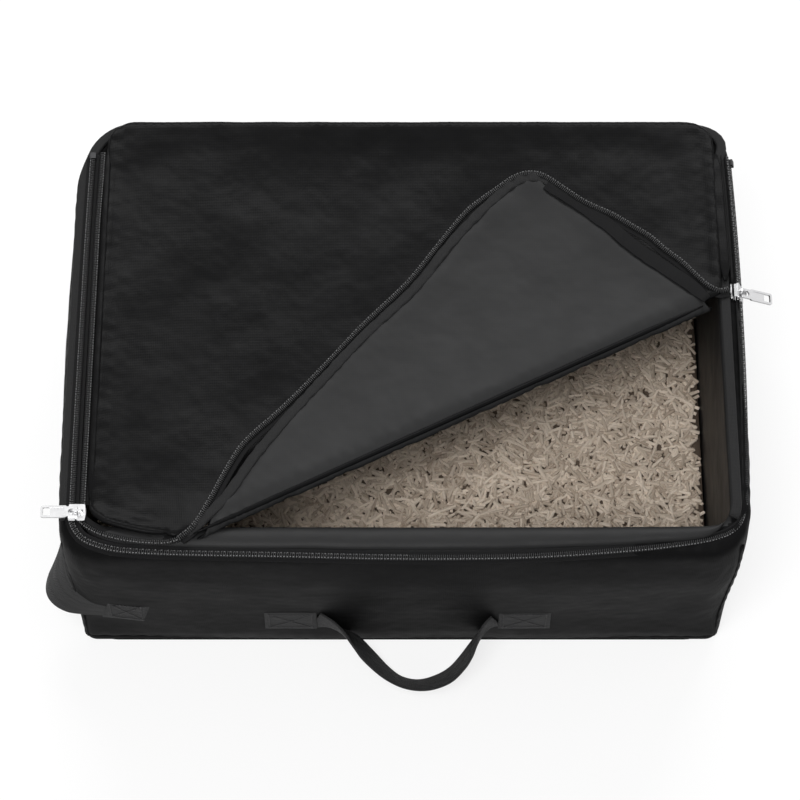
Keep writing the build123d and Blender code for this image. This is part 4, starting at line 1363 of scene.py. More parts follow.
@dataclass
class Rim:
    """The top edge of the walls with its half of the zips, and the rear fold."""

    coils: CoilRows
    left_row: float = -0.1925
    thread_rise: float = 0.0010
    band_inset: float = 0.0031
    band_level: float = 0.1558
    left_tilt: float = 0.12
    front_tilt: float = 0.5
    right_tilt: float = 2.475
    lip_level: float = 0.1562
    lip_depth: float = 0.020
    lip_thickness: float = 0.0008

    def build(self) -> None:
        """Build each stretch of the rim."""
        self.build_band()
        self.build_tapes()
        self.build_teeth()
        self.build_lip()
        self.build_rear()

    def left_knots(self) -> list[tuple[float, float, float]]:
        """Return the line of the closed coil along the left wall, from the rear to the left slider."""
        rows = ((shape.zip_rear, 0.0010), (0.060, 0.0003), (-0.010, 0.0), (-0.080, -0.0002), (-0.126, 0.0))
        return [(self.left_row + shift, y, shape.zip_level) for y, shift in rows]

    def front_knots(self) -> list[tuple[float, float, float]]:
        """Return the line of the open coil, from the left slider along the front to the right wall."""
        return [
            (-0.1930, -0.1320, 0.1582),
            (-0.1895, -0.1398, 0.1576),
            (-0.1830, -0.1454, 0.1566),
            (-0.1674, -0.1500, 0.1556),
            (-0.1452, -0.1516, 0.1549),
            (-0.1155, -0.1524, 0.1545),
            (-0.0747, -0.1530, 0.1542),
            (-0.0071, -0.1545, 0.1540),
            (0.0418, -0.1545, 0.1540),
            (0.0791, -0.1535, 0.1540),
            (0.1199, -0.1507, 0.1540),
            (0.1556, -0.1470, 0.1537),
            (0.1845, -0.1415, 0.1530),
            (0.1975, -0.1330, 0.1518),
        ]

    def right_knots(self) -> list[tuple[float, float, float]]:
        """Return the line of the coil along the right wall, from the front to the rear."""
        return [
            (0.2022, -0.1190, 0.1508),
            (0.2038, -0.0850, 0.1506),
            (0.2049, -0.0514, 0.1506),
            (0.2055, -0.0175, 0.1506),
            (0.2056, 0.0220, 0.1506),
            (0.2053, 0.0550, 0.1506),
            (0.2046, 0.0880, 0.1506),
            (0.2036, shape.zip_rear, 0.1506),
        ]

    def build_band(self) -> None:
        """Build the bound edge along the left, back and right walls."""
        stops = shape.around(self.band_inset, 0.004)
        path = []
        for place, out, _, _ in stops:
            if out.y >= -0.55:
                share = 1.0 if place.x < 0 else smooth_step((place.y - 0.112) / 0.02)
                path.append(place + shape.flare(place, out, self.band_level) * share + UP * self.band_level)
        start = next(i for i in range(len(path)) if (path[i] - path[i - 1]).length > 0.05)
        path = path[start:] + path[:start]
        band = sweep("rim_binding", path, flat_section(0.0062, 0.0032, 0.0015), Finish.BINDING)
        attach(band, "rim")
        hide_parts("rim_band")
        log.info("rim binding")

    def lean(self, path: Sequence[Point]) -> list[Point]:
        """Return the directions away from the zip along a line round the rim: up at the left, sloped at the right."""
        ups = []
        for index, place in enumerate(path):
            before, after = path[max(0, index - 1)], path[min(len(path) - 1, index + 1)]
            heading = (after - before).normalized()
            out = Vector((heading.y, -heading.x, 0.0))
            to_front = smooth_step((-place.y - 0.115) / 0.03)
            to_right = smooth_step((place.x - 0.150) / 0.05)
            tilt = self.left_tilt + (self.front_tilt - self.left_tilt) * to_front
            tilt += (self.right_tilt - tilt) * to_right
            ups.append((UP + out * tilt).normalized())
        return ups

    def build_tapes(self) -> None:
        """Build the zip tape that the walls' teeth are sewn on, in one run round the left, front and right walls."""
        path = smooth_path([*self.left_knots(), *self.front_knots(), *self.right_knots()], 0.004)
        ups = self.lean(path)
        line = [place - up * 0.0004 for place, up in zip(path, ups)]
        tape = sweep("wall_zip_tape", line, flat_section(0.0078, 0.0007, 0.0003, 2), Finish.TAPE, up=ups)
        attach(tape, "rim")
        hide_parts("left_wall_tape", "right_wall_tape")

    def build_teeth(self) -> None:
        """Build the teeth of the walls' half of the zip, and the rows of light dots beside them, painted highlights on
        the coil's turns.
        """
        left = [point + UP * self.thread_rise for point in smooth_path(self.left_knots(), 0.003)]
        self.coils.teeth("left_wall_teeth", left, "rim", ["left_wall_coil"])
        self.coils.dots("left_wall_dots", [point + Vector((-0.0013, 0, 0.0007)) for point in left], "rim")
        corner = smooth_path([self.left_knots()[-1], *self.front_knots(), self.right_knots()[0]], 0.003)
        tilted = Vector((0, -0.35, 1)).normalized()
        front = [point + tilted * self.thread_rise for point in corner]
        self.coils.teeth("front_wall_teeth", front, "rim", ["front_wall_coil"], up=tilted)
        for name, shift in (("front_wall_dots", -0.0012), ("front_lip_dots", 0.0012)):
            line = offset_line(front, shift, 0.0006)
            self.coils.dots(name, line if shift < 0 else line[: len(line) // 2], "rim", tilted)
        right = [point + shape.slope() * self.thread_rise for point in smooth_path(self.right_knots(), 0.003)]
        self.coils.teeth("right_wall_teeth", right, "rim", ["right_wall_coil"], up=shape.slope())
        run = [point + shape.slope() * 0.0007 + Vector((0.0004, 0, -0.0011)) for point in right]
        self.coils.dots("right_wall_dots", run, "rim", shape.slope())

    def build_lip(self) -> None:
        """Build the lining turned out over the top of the front wall."""
        outer = smooth_path(
            [
                (-0.1835, -0.1388, 0),
                (-0.1786, -0.1420, 0),
                (-0.1697, -0.1455, 0),
                (-0.1579, -0.1479, 0),
                (-0.1462, -0.1490, 0),
                (-0.1171, -0.1497, 0),
                (-0.0600, -0.1503, 0),
                (0.0000, -0.1507, 0),
                (0.0600, -0.1500, 0),
                (0.1157, -0.1482, 0),
                (0.1683, -0.1440, 0),
                (0.1830, -0.1395, 0),
                (0.1890, -0.1330, 0),
            ],
            0.003,
        )
        points: list[Point] = []
        profile = (
            (0.0, -0.0070),
            (0.05, -0.0015),
            (0.22, 0.0008),
            (0.48, 0.0014),
            (0.74, 0.0013),
            (0.93, 0.0002),
            (1.0, -0.0022),
            (0.9, -0.0034),
        )
        for index, edge in enumerate(outer):
            near = shape.half_depth - shape.wall - 0.0004
            inner = Vector((max(-0.186, min(0.186, edge.x)), min(-near, edge.y + self.lip_depth), 0.0))
            full = smooth_step(min(index, len(outer) - 1 - index) / 12)
            ripple = noise.noise(Vector((edge.x * 20, 0, 2)))
            for share, rise in profile:
                spot = inner.lerp(edge, share)
                lift = self.lip_level + rise * (0.55 + 0.45 * full) + 0.0005 * ripple * share
                spot.y += 0.0006 * noise.noise(Vector((edge.x * 26, 3.0, 1))) * share
                points.append(Vector((spot.x, spot.y, lift)))
        columns = len(profile)
        faces = grid_faces(len(outer), columns)
        width = max(path_length(points[start : start + columns]) for start in range(0, len(points), columns))
        length = path_length(outer)
        lip = make_object("front_lip_cloth", points, faces, [Finish.LINING])
        thicken(lip, self.lip_thickness)
        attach(lip, "rim")
        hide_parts("front_lip")

    def build_rear(self) -> None:
        """Build the fold of cloth that the lid hangs on."""
        profile = (
            (0.1360, 0.1568),
            (0.1392, 0.1578),
            (0.1424, 0.1574),
            (0.1440, 0.1552),
            (0.1443, 0.1515),
            (0.1430, 0.1495),
            (0.1380, 0.1500),
        )
        middle, root = 0.139, 0.1520
        xs = spaced(-0.172, 0.172, 0.004)
        points = []
        for index, x in enumerate(xs):
            full = smooth_step(min(index, len(xs) - 1 - index) / 4)
            ripple = 0.0003 * noise.noise(Vector((x * 30, 0, 8)))
            for y, z in profile:
                back = middle + (y - middle) * (0.4 + 0.6 * full) + ripple
                points.append(Vector((x, back, root + (z - root) * (0.3 + 0.7 * full))))
        ring = len(profile)
        faces = grid_faces(len(xs), ring, closed_columns=True, flipped=True)
        faces.append(list(range(ring)))
        faces.append([(len(xs) - 1) * ring + column for column in reversed(range(ring))])
        fold = make_object("rear_hinge_fold", points, faces, [Finish.SHELL])
        subdivide(fold, 1)
        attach(fold, "rim")
        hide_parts("rear_fold")
        log.info("rear fold")


def offset_line(line: Sequence[Point], out: float, rise: float) -> list[Point]:
    """Shift a line to its left and up."""
    shifted = []
    for index, point in enumerate(line):
        before, after = line[max(0, index - 2)], line[min(len(line) - 1, index + 2)]
        heading = after - before
        side = Vector((-heading.y, heading.x, 0.0)).normalized()
        shifted.append(point + side * out + UP * rise)
    return shifted


def spaced(start: float, end: float, step: float) -> list[float]:
    """Return numbers from start to end, about a step apart."""
    count = max(1, round(abs(end - start) / step))
    return [start + (end - start) * index / count for index in range(count + 1)]


@dataclass
class Lid:
    """The padded lid behind the fold, with its welts, tapes and teeth."""

    coils: CoilRows
    spacing: float = 0.0055
    lid_row: float = -0.1866
    fold_cut: float = 0.0032
    rear_corner: float = 0.018
    edge_crease: float = 0.0011
    edge_pucker: float = 0.0005
    soft_fold: float = 0.0011
    slanting_fold: float = 0.0007
    rear_drop: float = 0.0016

    def outline(self) -> list[tuple[float, float]]:
        """Return the lid's outline in plan, cut off along the fold."""
        left, right, rear = shape.lid_left - 0.0030, shape.lid_right + 0.0020, shape.lid_rear + 0.0030
        start = shape.fold(0.006, -self.fold_cut, 0.0)
        heading = shape.fold(0.1, -self.fold_cut, 0.0) - start
        right_y = start.y + heading.y * (right - start.x) / heading.x
        front_corner = smooth_path(
            [
                (left, -0.1180, 0.0),
                (left + 0.0012, -0.1262, 0.0),
                (-0.1765, -0.1322, 0.0),
                (-0.1680, -0.1355, 0.0),
                (-0.1522, -0.1396, 0.0),
                (-0.1380, -0.1418, 0.0),
                (start.x, start.y, 0.0),
            ],
            0.004,
        )
        corners = []
        for before, corner, after in (
            ((0.0, rear), (left, rear), (left, 0.0)),
            ((right, 0.0), (right, rear), (0.0, rear)),
        ):
            corners.append(rounded_corner(Vector(before), Vector(corner), Vector(after), self.rear_corner))
        return [*[(p.x, p.y) for p in front_corner], (right, right_y), *corners[1], *corners[0]]

    def build(self) -> None:
        """Build the lid and its edges."""
        self.build_panel()
        self.build_left_edge()
        self.build_front_edge()
        self.build_right_edge()
        self.build_roll()

    def build_panel(self) -> None:
        """Build the lid's padded panel, sagging and draped between its sewn edges."""
        outline = self.outline()
        points, faces = fill_outline(outline, self.spacing)
        held = Boundary(outline)
        for point in points:
            point.z = shape.lid_height(point)
        panel = make_object("lid_panel", points, faces, [Finish.LID, Finish.LINING, Finish.LID])
        ClothRun(frames=24, pressure=0.0, gravity=0.6, cap=0.003, stiffness=8.0, bending=0.05).run(
            panel, lambda place: 1 - smooth_step((held.distance(place) - 0.001) / 0.006)
        )
        for vertex in panel.data.vertices:
            place = vertex.co
            reach = held.distance(place)
            at_rear = smooth_step((place.y - 0.1335) / 0.009)
            along, back = shape.from_fold(place)
            free = smooth_step((back - 0.01) / 0.02) if 0 < along < shape.fold_length() else 1.0
            crease = math.exp(-(((reach - 0.0085) / 0.0026) ** 2)) * (1 - at_rear) * free
            pucker = noise.noise(Vector((place.x * 60, place.y * 60, 2.0)))
            fold = noise.noise(Vector((place.x * 14, place.y * 9, 7.0)))
            diagonal = noise.noise(Vector(((place.x + place.y) * 8, (place.x - place.y) * 24, 3.0)))
            fade = smooth_step(reach / 0.03)
            shift = -self.edge_crease * crease + self.edge_pucker * pucker * math.exp(-reach / 0.014)
            shift += (self.soft_fold * fold + self.slanting_fold * diagonal) * fade
            vertex.co.z += shift - self.rear_drop * at_rear
        thicken(panel, shape.lid_thickness, back_slot=1, rim_slot=2)
        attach(panel, "lid")
        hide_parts("lid_lining", "lid_foam", "lid_cloth")
        log.info("lid panel: %d points", len(panel.data.vertices))

    def welt(self, name: str, path: Sequence[Point], node: str, width: float, height: float) -> None:
        """Build one rolled edge of the lid."""
        count = len(path)

        def section(share: float) -> Section:
            """Taper the roll at its ends."""
            full = min(1.0, 0.3 + min(share, 1 - share) * count / 4)
            return flat_section(width * full, height * full, height * full * 0.46, 4)

        welt = sweep(name, path, section, Finish.LID)
        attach(welt, "lid")
        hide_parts(node)
        log.info(name)

    def tape(self, name: str, path: Sequence[Point], width: float, node: str, up: Point = UP) -> None:
        """Build one stretch of the zip tape that the lid's teeth are sewn on."""
        tape = sweep(name, path, flat_section(width, 0.0006, 0.0002, 1), Finish.TAPE, up=up)
        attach(tape, "lid")
        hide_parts(node)

    def build_left_edge(self) -> None:
        """Build the welt, tape and teeth of the left edge."""
        knots = [(-0.1822, y, 0.1596 + 0.0002 * math.sin(y * 260)) for y in spaced(-0.1200, 0.122, 0.02)]
        self.welt("left_lid_roll", smooth_path(knots, 0.004), "left_lid_welt", 0.0042, 0.0034)
        path = [Vector((self.lid_row + 0.0012, y, shape.zip_level - 0.0003)) for y in spaced(-0.1228, 0.118, 0.006)]
        self.tape("left_lid_zip_tape", path, 0.0060, "left_lid_tape")
        line = []
        for y in spaced(-0.1262, 0.118, 0.004):
            line.append(Vector((self.lid_row + 0.0010 * smooth_step((y - 0.06) / 0.058), y, shape.zip_level + 0.0010)))
        self.coils.teeth("left_lid_teeth", line, "lid", ["left_lid_coil"], flip=True)
        self.coils.dots("left_lid_dots", [point + Vector((0.0013, 0, 0.0007)) for point in line], "lid")

    def build_front_edge(self) -> None:
        """Build the short front edge left of the fold, with its open teeth."""
        knots = [
            (-0.1822, -0.1195, 0.1596),
            (-0.1808, -0.1262, 0.1596),
            (-0.1755, -0.1315, 0.1596),
            (-0.1675, -0.1350, 0.1596),
            (-0.1520, -0.1392, 0.1597),
            (-0.1370, -0.1415, 0.1600),
        ]
        self.welt("front_lid_roll", smooth_path(knots, 0.003), "front_lid_welt", 0.0040, 0.0032)
        line = smooth_path(
            [
                (-0.1893, -0.1290, 0.1590),
                (-0.1876, -0.1330, 0.1589),
                (-0.1840, -0.1366, 0.1587),
                (-0.1754, -0.1412, 0.1583),
                (-0.1607, -0.1450, 0.1580),
                (-0.1461, -0.1468, 0.1584),
                (-0.1356, -0.1470, 0.1592),
                (-0.1290, -0.1452, 0.1604),
            ],
            0.003,
        )
        self.coils.teeth("front_lid_teeth", line, "lid", ["front_lid_coil"], flip=True)
        self.coils.dots("front_lid_dots", offset_line(line, -0.0008, 0.0008), "lid")
        path = [p + Vector((0.0012, 0.0024, -0.0012)) for p in line]
        self.tape("front_lid_zip_tape", path, 0.0054, "front_lid_tape")

    def build_right_edge(self) -> None:
        """Build the welt, tape and teeth of the right edge, which turns down over the wall."""
        slope = shape.slope()
        line, welt = [], []
        for y in spaced(0.0275, shape.zip_rear, 0.004):
            bow = 0.2056 - 0.0020 * ((y - 0.012) / 0.106) ** 2
            line.append(Vector((bow - 0.0018, y, 0.1545)))
            welt.append(Vector((bow - 0.0082, y, 0.1590 + 0.0002 * math.sin(y * 300))))
        self.welt("right_lid_roll", welt, "right_lid_welt", 0.0070, 0.0034)
        teeth = [point + slope * 0.0010 for point in line]
        self.coils.teeth("right_lid_teeth", teeth, "lid", ["right_lid_coil"], up=slope, flip=True)
        run = [point + slope * 0.0007 + Vector((-0.0004, 0, 0.0011)) for point in teeth]
        self.coils.dots("right_lid_dots", run, "lid", slope)
        path = [point + Vector((-0.0012, 0.0, 0.0012)) - slope * 0.0003 for point in line]
        self.tape("right_lid_zip_tape", path, 0.0062, "right_lid_tape", up=slope)

    def build_roll(self) -> None:
        """Build the soft core that the corner folds round."""
        length = shape.fold_length()
        path = [shape.fold(along, 0.0, shape.fold_level) for along in spaced(0.018, length - 0.012, 0.006)]

        def section(share: float) -> Section:
            """Taper the core at its ends."""
            full = min(1.0, 0.3 + 9 * min(share, 1 - share))
            return round_section(0.0016 * full, 14)

        roll = sweep("fold_core", path, section, Finish.LID)
        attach(roll, "lid")
        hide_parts("lid_fold_roll")
        log.info("fold core")


@dataclass
class FoldedCorner:
    """The corner of the lid, folded back over the lid with its lining up."""

    coils: CoilRows
    spacing: float = 0.005
    curl: float = 0.0034
    thickness: float = 0.0024
    bend: float = 0.008
    overlap: float = 0.0030
    full_turn: float = 168.0
    left_drop: float = 0.0035
    end_drop: float = 0.0016
    swell: float = 0.0012
    tip: tuple[float, float] = (0.079, 0.096)

    def binding_knots(self) -> list[tuple[float, float]]:
        """Return the middle of the bound edge, from the left end of the fold round the tip."""
        return [
            (-0.1245, -0.1440),
            (-0.1162, -0.1352),
            (-0.1015, -0.1184),
            (-0.0868, -0.0936),
            (-0.0690, -0.0685),
            (-0.0467, -0.0401),
            (-0.0212, -0.0091),
            (0.0084, 0.0228),
            (0.0274, 0.0498),
            (0.0454, 0.0721),
            (0.0620, 0.0895),
            (0.0712, 0.0972),
            (0.0792, 0.0996),
            (0.0866, 0.0985),
            (0.0925, 0.0928),
        ]

    def tape_knots(self) -> list[tuple[float, float]]:
        """Return the middle of the flat tape, from the tip to the right end of the fold."""
        return [
            (0.0905, 0.0950),
            (0.1060, 0.0828),
            (0.1246, 0.0669),
            (0.1412, 0.0500),
            (0.1560, 0.0372),
            (0.1754, 0.0213),
            (0.1850, 0.0120),
        ]

    def coil_knots(self) -> list[tuple[float, float, float]]:
        """Return the line of the open coil round the corner: its place in plan and its lift over the lid."""
        return [
            (-0.1292, -0.1452, 0.0002),
            (-0.1202, -0.1371, 0.0002),
            (-0.1108, -0.1204, 0.0004),
            (-0.1031, -0.1034, 0.0004),
            (-0.0946, -0.0871, 0.0004),
            (-0.0858, -0.0762, 0.0002),
            (-0.0742, -0.0640, -0.0006),
            (-0.0520, -0.0380, -0.0012),
            (-0.0255, -0.0060, -0.0012),
            (0.0040, 0.0260, -0.0012),
            (0.0230, 0.0530, -0.0008),
            (0.0393, 0.0752, 0.0000),
            (0.0499, 0.0850, 0.0004),
            (0.0611, 0.0936, 0.0004),
            (0.0699, 0.1000, -0.0004),
            (0.0787, 0.1026, -0.0010),
            (0.0880, 0.1006, -0.0012),
            (0.1000, 0.0915, -0.0010),
            (0.1134, 0.0808, -0.0004),
            (0.1290, 0.0722, 0.0002),
            (0.1411, 0.0637, 0.0006),
            (0.1519, 0.0562, 0.0008),
            (0.1607, 0.0474, 0.0008),
            (0.1707, 0.0388, 0.0006),
            (0.1794, 0.0294, 0.0002),
            (0.1864, 0.0230, -0.0008),
            (0.1935, 0.0200, -0.0022),
            (0.1985, 0.0215, -0.0044),
        ]

    def height(self, place: Point) -> float:
        """Return the level of the folded corner's middle surface at a place in plan."""
        along, back = shape.from_fold(place)
        rest = shape.lid_height(place) + shape.lid_thickness + 0.0008
        crown = shape.fold_level + self.curl - 0.0012
        near = math.exp(-max(0.0, back) / 0.030)
        level = rest + (crown - rest) * near if crown > rest else rest
        wave = noise.noise(Vector((along * 13, back * 16, 4.2)))
        ends = smooth_step(along / 0.05) * smooth_step((shape.fold_length() - along) / 0.05)
        dropped = self.left_drop * (1 - smooth_step(along / 0.045)) + self.end_drop * (1 - ends)
        return level - dropped * near + self.swell * wave * smooth_step(back / 0.02)

    def build(self) -> None:
        """Build the folded corner and its edges."""
        self.build_panel()
        self.build_edges()

    def build_panel(self) -> None:
        """Build the panel, from the crest of the fold to its two free edges."""
        length = shape.fold_length()
        start = shape.fold(0.0150, 0.0030, 0.0)
        end = shape.fold(length - 0.004, 0.0030, 0.0)
        knots = [(x, y, 0.0) for x, y in self.binding_knots() + self.tape_knots()[1:]]
        line = smooth_path(knots, 0.004)
        outline = [(start.x, start.y), (end.x, end.y)] + [(p.x, p.y) for p in reversed(line)]
        points, faces = fill_outline(outline, self.spacing)
        edge = Boundary(outline)
        tip = Vector(self.tip)
        for point in points:
            _, back = shape.from_fold(point)
            point.z = self.height(point)
            reach = edge.distance(point)
            if back > 0.012:
                gather = noise.noise(Vector((point.x * 55, point.y * 55, 1.0)))
                tuck = math.exp(-(((point.xy - tip).length / 0.018) ** 2))
                ruffle = (0.0007 + 0.0016 * tuck) * gather * math.exp(-reach / 0.014)
                point.z += ruffle - 0.0008 * math.exp(-reach / 0.004)
        panel = make_object("corner_panel", points, faces, [Finish.LINING, Finish.LID, Finish.LID])
        ClothRun(frames=16, pressure=0.0, gravity=0.2, cap=0.0015, stiffness=10.0, bending=0.3).run(
            panel, lambda place: 1 - smooth_step((edge.distance(place) - 0.002) / 0.010)
        )
        self.curl_edge(panel)
        thicken(panel, self.thickness, back_slot=1, rim_slot=2)
        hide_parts("corner_cloth", "corner_foam", "corner_lining")
        tuple(shape.fold(0.15, self.curl, 0.16))
        tuple(shape.fold(0.15, -0.004, 0.16))
        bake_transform(panel)
        log.info("folded corner: %d points", len(panel.data.vertices))

    def curl_edge(self, panel: bpy.types.Object) -> None:
        """Wrap the edge of the panel that lies along the fold down round the core."""
        bend = self.bend
        arm = bend - 0.0045
        for vertex in panel.data.vertices:
            along, back = shape.from_fold(vertex.co)
            if back >= bend:
                continue
            level = self.height(vertex.co + (shape.fold(0, -bend, 0) - shape.fold(0, -back, 0)))
            turn = (bend - back) / (bend + self.overlap) * math.radians(self.full_turn)
            share = smooth_step((bend - back) / 0.004)
            flat = shape.fold(along, -back, level)
            out = self.curl * math.sin(turn) * share - arm * (1 - share)
            vertex.co = flat.lerp(shape.fold(along, out, level - self.curl * (1 - math.cos(turn))), share)
        panel.data.update()

    def lift(self, knots: Sequence[Sequence[float]], rise: float, wrinkle: float, spacing: float) -> list[Point]:
        """Lay a line on the folded corner, with small waves, and return its points."""
        line = smooth_path([(knot[0], knot[1], 0.0) for knot in knots], spacing)
        tip = Vector((0.079, 0.098, 0.0))
        lifted = []
        for index, point in enumerate(line):
            tuck = math.exp(-(((point - tip).length / 0.022) ** 2))
            wave = noise.noise(Vector((point.x * 90, point.y * 90, 5))) + 0.6 * math.sin(index * 1.7)
            depth = wrinkle * (1 + 2.2 * tuck)
            level = self.height(point) + rise + depth * wave
            side = noise.noise(Vector((point.x * 70, point.y * 70, 9)))
            lifted.append(Vector((point.x + depth * 1.2 * side, point.y + depth * 1.2 * side, level)))
        return lifted

    def build_edges(self) -> None:
        """Build the binding, tape and teeth along the two free edges."""
        bound = self.lift(self.binding_knots(), 0.0004, 0.00035, 0.0022)
        count = len(bound)

        def gathered(share: float) -> Section:
            """Widen and narrow the binding as its cloth gathers."""
            width = 0.0062 + 0.0012 * noise.noise(Vector((share * 60, 2.0, 0.0)))
            full = min(1.0, 0.35 + min(share, 1 - share) * count / 8)
            return flat_section(width * full, 0.0030 * full, 0.00135 * full, 3)

        binding = sweep("corner_edge_binding", bound, gathered, Finish.BINDING)
        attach(binding, "lid_corner")
        flat = self.lift(self.tape_knots(), 0.0016, 0.00012, 0.0030)

        def wavy(share: float) -> Section:
            """Let the tape's inner edge wander."""
            wander = 0.0012 * noise.noise(Vector((share * 14, 5.0, 0.0)))
            width = 0.0088 + wander - 0.0030 * smooth_step((share - 0.9) / 0.1)
            return flat_section(width, 0.0008, 0.0003, 2)

        tape = sweep("corner_zip_tape", flat, wavy, Finish.TAPE)
        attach(tape, "lid_corner")
        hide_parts("corner_tape")
        line = smooth_path([(x, y, 0.0) for x, y, _ in self.coil_knots()], 0.0025)
        lifts = smooth_path([(lift, 0.0, 0.0) for _, _, lift in self.coil_knots()], 1.0)
        teeth = []
        for index, point in enumerate(line):
            place = index / (len(line) - 1) * (len(lifts) - 1)
            below = min(len(lifts) - 2, int(place))
            lift = lifts[below].lerp(lifts[below + 1], place - below).x
            teeth.append(Vector((point.x, point.y, self.height(point) + 0.0012 + lift)))
        self.coils.teeth("corner_teeth", teeth, "lid_corner", ["corner_coil"], flip=True)
        self.coils.dots("corner_dots", offset_line(teeth, 0.0010, 0.0007), "lid_corner")
        cord = offset_line(teeth, -0.0018, -0.0011)
        ribbon = sweep("corner_coil_tape", cord, flat_section(0.0052, 0.0006, 0.0002, 1), Finish.TAPE)
        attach(ribbon, "lid_corner")
        log.info("folded corner edges")


@dataclass
class Webbing:
    """The carry handle on the front wall and the tug loop at the corner."""

    coils: CoilRows
    width: float = 0.025
    thickness: float = 0.0017
    standoff: float = 0.0019

    def build(self) -> None:
        """Build both loops and their sewn ends."""
        self.build_handle()
        self.build_ends()
        self.build_corner_loop()

    def section(self, width: float) -> Section:
        """Return the section of webbing of a width."""
        return flat_section(self.thickness, width, self.thickness * 0.45, 3)

    def patch(self, name: str, path: Sequence[Point], node: str) -> None:
        """Build one sewn end along its middle line."""
        patch = sweep(name, path, self.section(self.width), Finish.WEBBING, up=UP)
        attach(patch, "base")
        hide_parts(node)
        log.info(name)

    def twisted(
        self,
        name: str,
        upper: Sequence[Sequence[float]],
        lower: Sequence[Sequence[float]],
        node: str,
        body: str,
        bend: tuple[Sequence[float], Sequence[float]] | None,
        stations: tuple[int, int] = (0, 59),
    ) -> None:
        """Build a strap between the lines of its two edges.

        Args:
            name: The piece's name.
            upper: Places along the upper edge.
            lower: Places along the lower edge, as many.
            node: The CAD node that it replaces.
            body: The body that the strap follows, where no bend is given.
            bend: Two places, which are not used, or nothing; where places are given the strap is left as built and
                follows no body.
            stations: The first and the last of its stations that are built, where that is only a part of it.
        """
        part = slice(stations[0], stations[1] + 1)
        tops, bottoms = even_path(upper, 60)[part], even_path(lower, 60)[part]
        path = [(top + bottom) / 2 for top, bottom in zip(tops, bottoms)]
        ups = [(top - bottom).normalized() for top, bottom in zip(tops, bottoms)]
        widths = [(top - bottom).length for top, bottom in zip(tops, bottoms)]

        def section(share: float) -> Section:
            """Return the strap's section, as wide as its edges are apart."""
            return self.section(widths[round(share * (len(widths) - 1))])

        strap = sweep(name, path, section, Finish.WEBBING, up=ups)
        if bend is None:
            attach(strap, body)
        else:
            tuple(bend[0])
            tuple(bend[1])
            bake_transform(strap)
        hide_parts(node)
        log.info(name)

    def build_handle(self) -> None:
        """Build the hanging loop of the carry handle."""
        upper = [
            (-0.0534, -0.1466, 0.0560),
            (-0.0473, -0.1500, 0.0545),
            (-0.0412, -0.1542, 0.0505),
            (-0.0351, -0.1593, 0.0445),
            (-0.0266, -0.1666, 0.0360),
            (-0.0167, -0.1743, 0.0290),
            (-0.0072, -0.1798, 0.0240),
            (0.0024, -0.1832, 0.0215),
            (0.0123, -0.1843, 0.0205),
            (0.0222, -0.1832, 0.0215),
            (0.0320, -0.1793, 0.0240),
            (0.0403, -0.1721, 0.0300),
            (0.0451, -0.1663, 0.0370),
            (0.0497, -0.1585, 0.0455),
            (0.0545, -0.1520, 0.0525),
            (0.0606, -0.1466, 0.0560),
        ]
        lower = [
            (-0.0516, -0.1468, 0.0310),
            (-0.0467, -0.1470, 0.0290),
            (-0.0405, -0.1470, 0.0260),
            (-0.0331, -0.1474, 0.0215),
            (-0.0244, -0.1496, 0.0160),
            (-0.0170, -0.1546, 0.0100),
            (-0.0076, -0.1630, 0.0045),
            (-0.0001, -0.1682, 0.0025),
            (0.0099, -0.1702, 0.0018),
            (0.0199, -0.1682, 0.0025),
            (0.0299, -0.1634, 0.0045),
            (0.0386, -0.1560, 0.0105),
            (0.0457, -0.1500, 0.0180),
            (0.0502, -0.1480, 0.0245),
            (0.0551, -0.1472, 0.0290),
            (0.0613, -0.1468, 0.0310),
        ]
        for name, bend, stations in (
            ("handle_strap_left", ((-0.0530, 0.0, 0.0), (-0.0405, 0.0, 0.0)), (0, 10)),
            ("handle_strap", None, (10, 49)),
            ("handle_strap_right", ((0.0605, 0.0, 0.0), (0.0480, 0.0, 0.0)), (49, 59)),
        ):
            self.twisted(name, upper, lower, "handle_loop", "front_handle", bend, stations)

    def build_ends(self) -> None:
        """Build the four sewn ends, each with its box of stitches."""
        for name, low, high, level, rise, node in (
            ("handle_end_left", -0.084, -0.052, 0.0435, 0.0, "handle_left_end"),
            ("handle_end_right", 0.060, 0.092, 0.0435, 0.0, "handle_right_end"),
            ("loop_end_front", -0.181, -0.156, 0.0555, -0.22, "loop_front_end"),
        ):
            path = []
            for x in spaced(low, high, 0.003):
                swell = 1 - abs(x / 0.178) ** 3.4
                place = level + rise * (x - (low + high) / 2)
                y = -shape.half_depth - 0.003 * max(0.0, swell) * shape.swell(place) - self.standoff
                y += shape.flare(Vector((x, -shape.half_depth, 0)), Vector((0, -1, 0)), place).y
                path.append(Vector((x, y, place)))
            self.patch(f"{name}_patch", path, node)
            self.box_stitches(name, path, Vector((0, -1, 0)))
        path, level = [], 0.0505
        for y in spaced(-0.101, -0.077, 0.003):
            swell = 1 - abs(y / 0.120) ** 3.4
            x = -shape.half_width - 0.009 * max(0.0, swell) * shape.swell(level) - self.standoff
            path.append(Vector((x, y, level)))
        self.patch("loop_end_side_patch", path, "loop_side_end")
        self.box_stitches("loop_end_side", path, Vector((-1, 0, 0)))

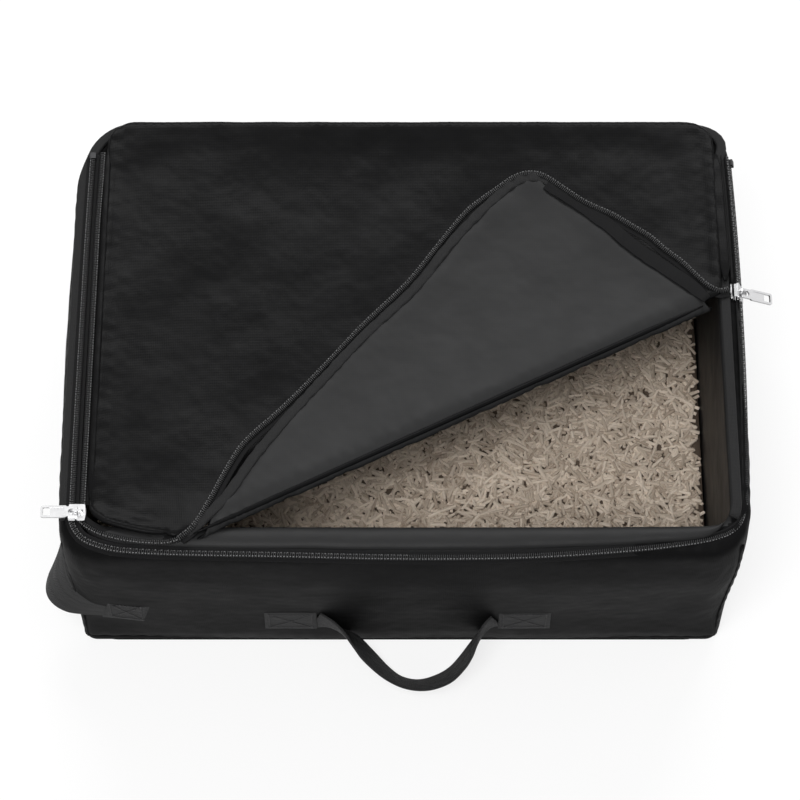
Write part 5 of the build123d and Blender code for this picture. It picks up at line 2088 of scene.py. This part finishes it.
    def box_stitches(self, name: str, path: Sequence[Point], out: Point) -> None:
        """Sew a box with a cross over one end."""
        reach = out * 0.0010
        near, far = path[1] + reach, path[-2] + reach
        half = UP * (self.width / 2 - 0.003)
        corners = [near + half, far + half, far - half, near - half]
        lines = [[corners[index - 1], corners[index]] for index in range(4)]
        lines += [[corners[0], corners[2]], [corners[1], corners[3]]]
        for index, line in enumerate(lines):
            steps = [line[0].lerp(line[1], share) for share in spaced(0.0, 1.0, 0.25)]
            self.coils.stitches(f"{name}_stitches_{index + 1}", steps, "base", out)

    def build_corner_loop(self) -> None:
        """Build the tug loop that stands out round the front left corner."""
        upper = [
            (-0.1760, -0.1445, 0.0705),
            (-0.1850, -0.1442, 0.0745),
            (-0.1930, -0.1425, 0.0765),
            (-0.1985, -0.1380, 0.0772),
            (-0.2020, -0.1310, 0.0762),
            (-0.2050, -0.1200, 0.0730),
            (-0.2072, -0.1080, 0.0690),
            (-0.2085, -0.0990, 0.0655),
        ]
        lower = [
            (-0.1760, -0.1450, 0.0465),
            (-0.1860, -0.1462, 0.0505),
            (-0.1960, -0.1468, 0.0528),
            (-0.2060, -0.1445, 0.0528),
            (-0.2145, -0.1380, 0.0510),
            (-0.2190, -0.1290, 0.0480),
            (-0.2180, -0.1160, 0.0445),
            (-0.2125, -0.1020, 0.0410),
        ]
        bend = ((-0.1605, -0.1605, 0.0), (-0.1695, -0.1695, 0.0))
        self.twisted("tug_strap", upper, lower, "corner_loop", "corner_loop", bend)


def even_path(knots: Sequence[Sequence[float]], count: int) -> list[Point]:
    """Draw a smooth line through knots and return points at even distances along it."""
    fine = smooth_path(knots, 0.0006)
    marks = [0.0]
    for first, second in zip(fine, fine[1:]):
        marks.append(marks[-1] + (second - first).length)
    points = []
    place = 0
    for step in range(count + 1):
        target = marks[-1] * step / count
        while place < len(marks) - 2 and marks[place + 1] < target:
            place += 1
        span = marks[place + 1] - marks[place]
        points.append(fine[place].lerp(fine[place + 1], min(1.0, (target - marks[place]) / span) if span else 0.0))
    return points


def main() -> None:
    """Build the studio and the box, piece by piece."""
    logging.basicConfig(level=logging.INFO, format="%(message)s")
    Studio().build()
    CadDressing().build()
    coils = CoilRows()
    PaddedWalls().build()
    LitterBed().build()
    Rim(coils).build()
    Lid(coils).build()
    FoldedCorner(coils).build()
    Webbing(coils).build()
    coils.clear()


if __name__ == "__main__":
    main()
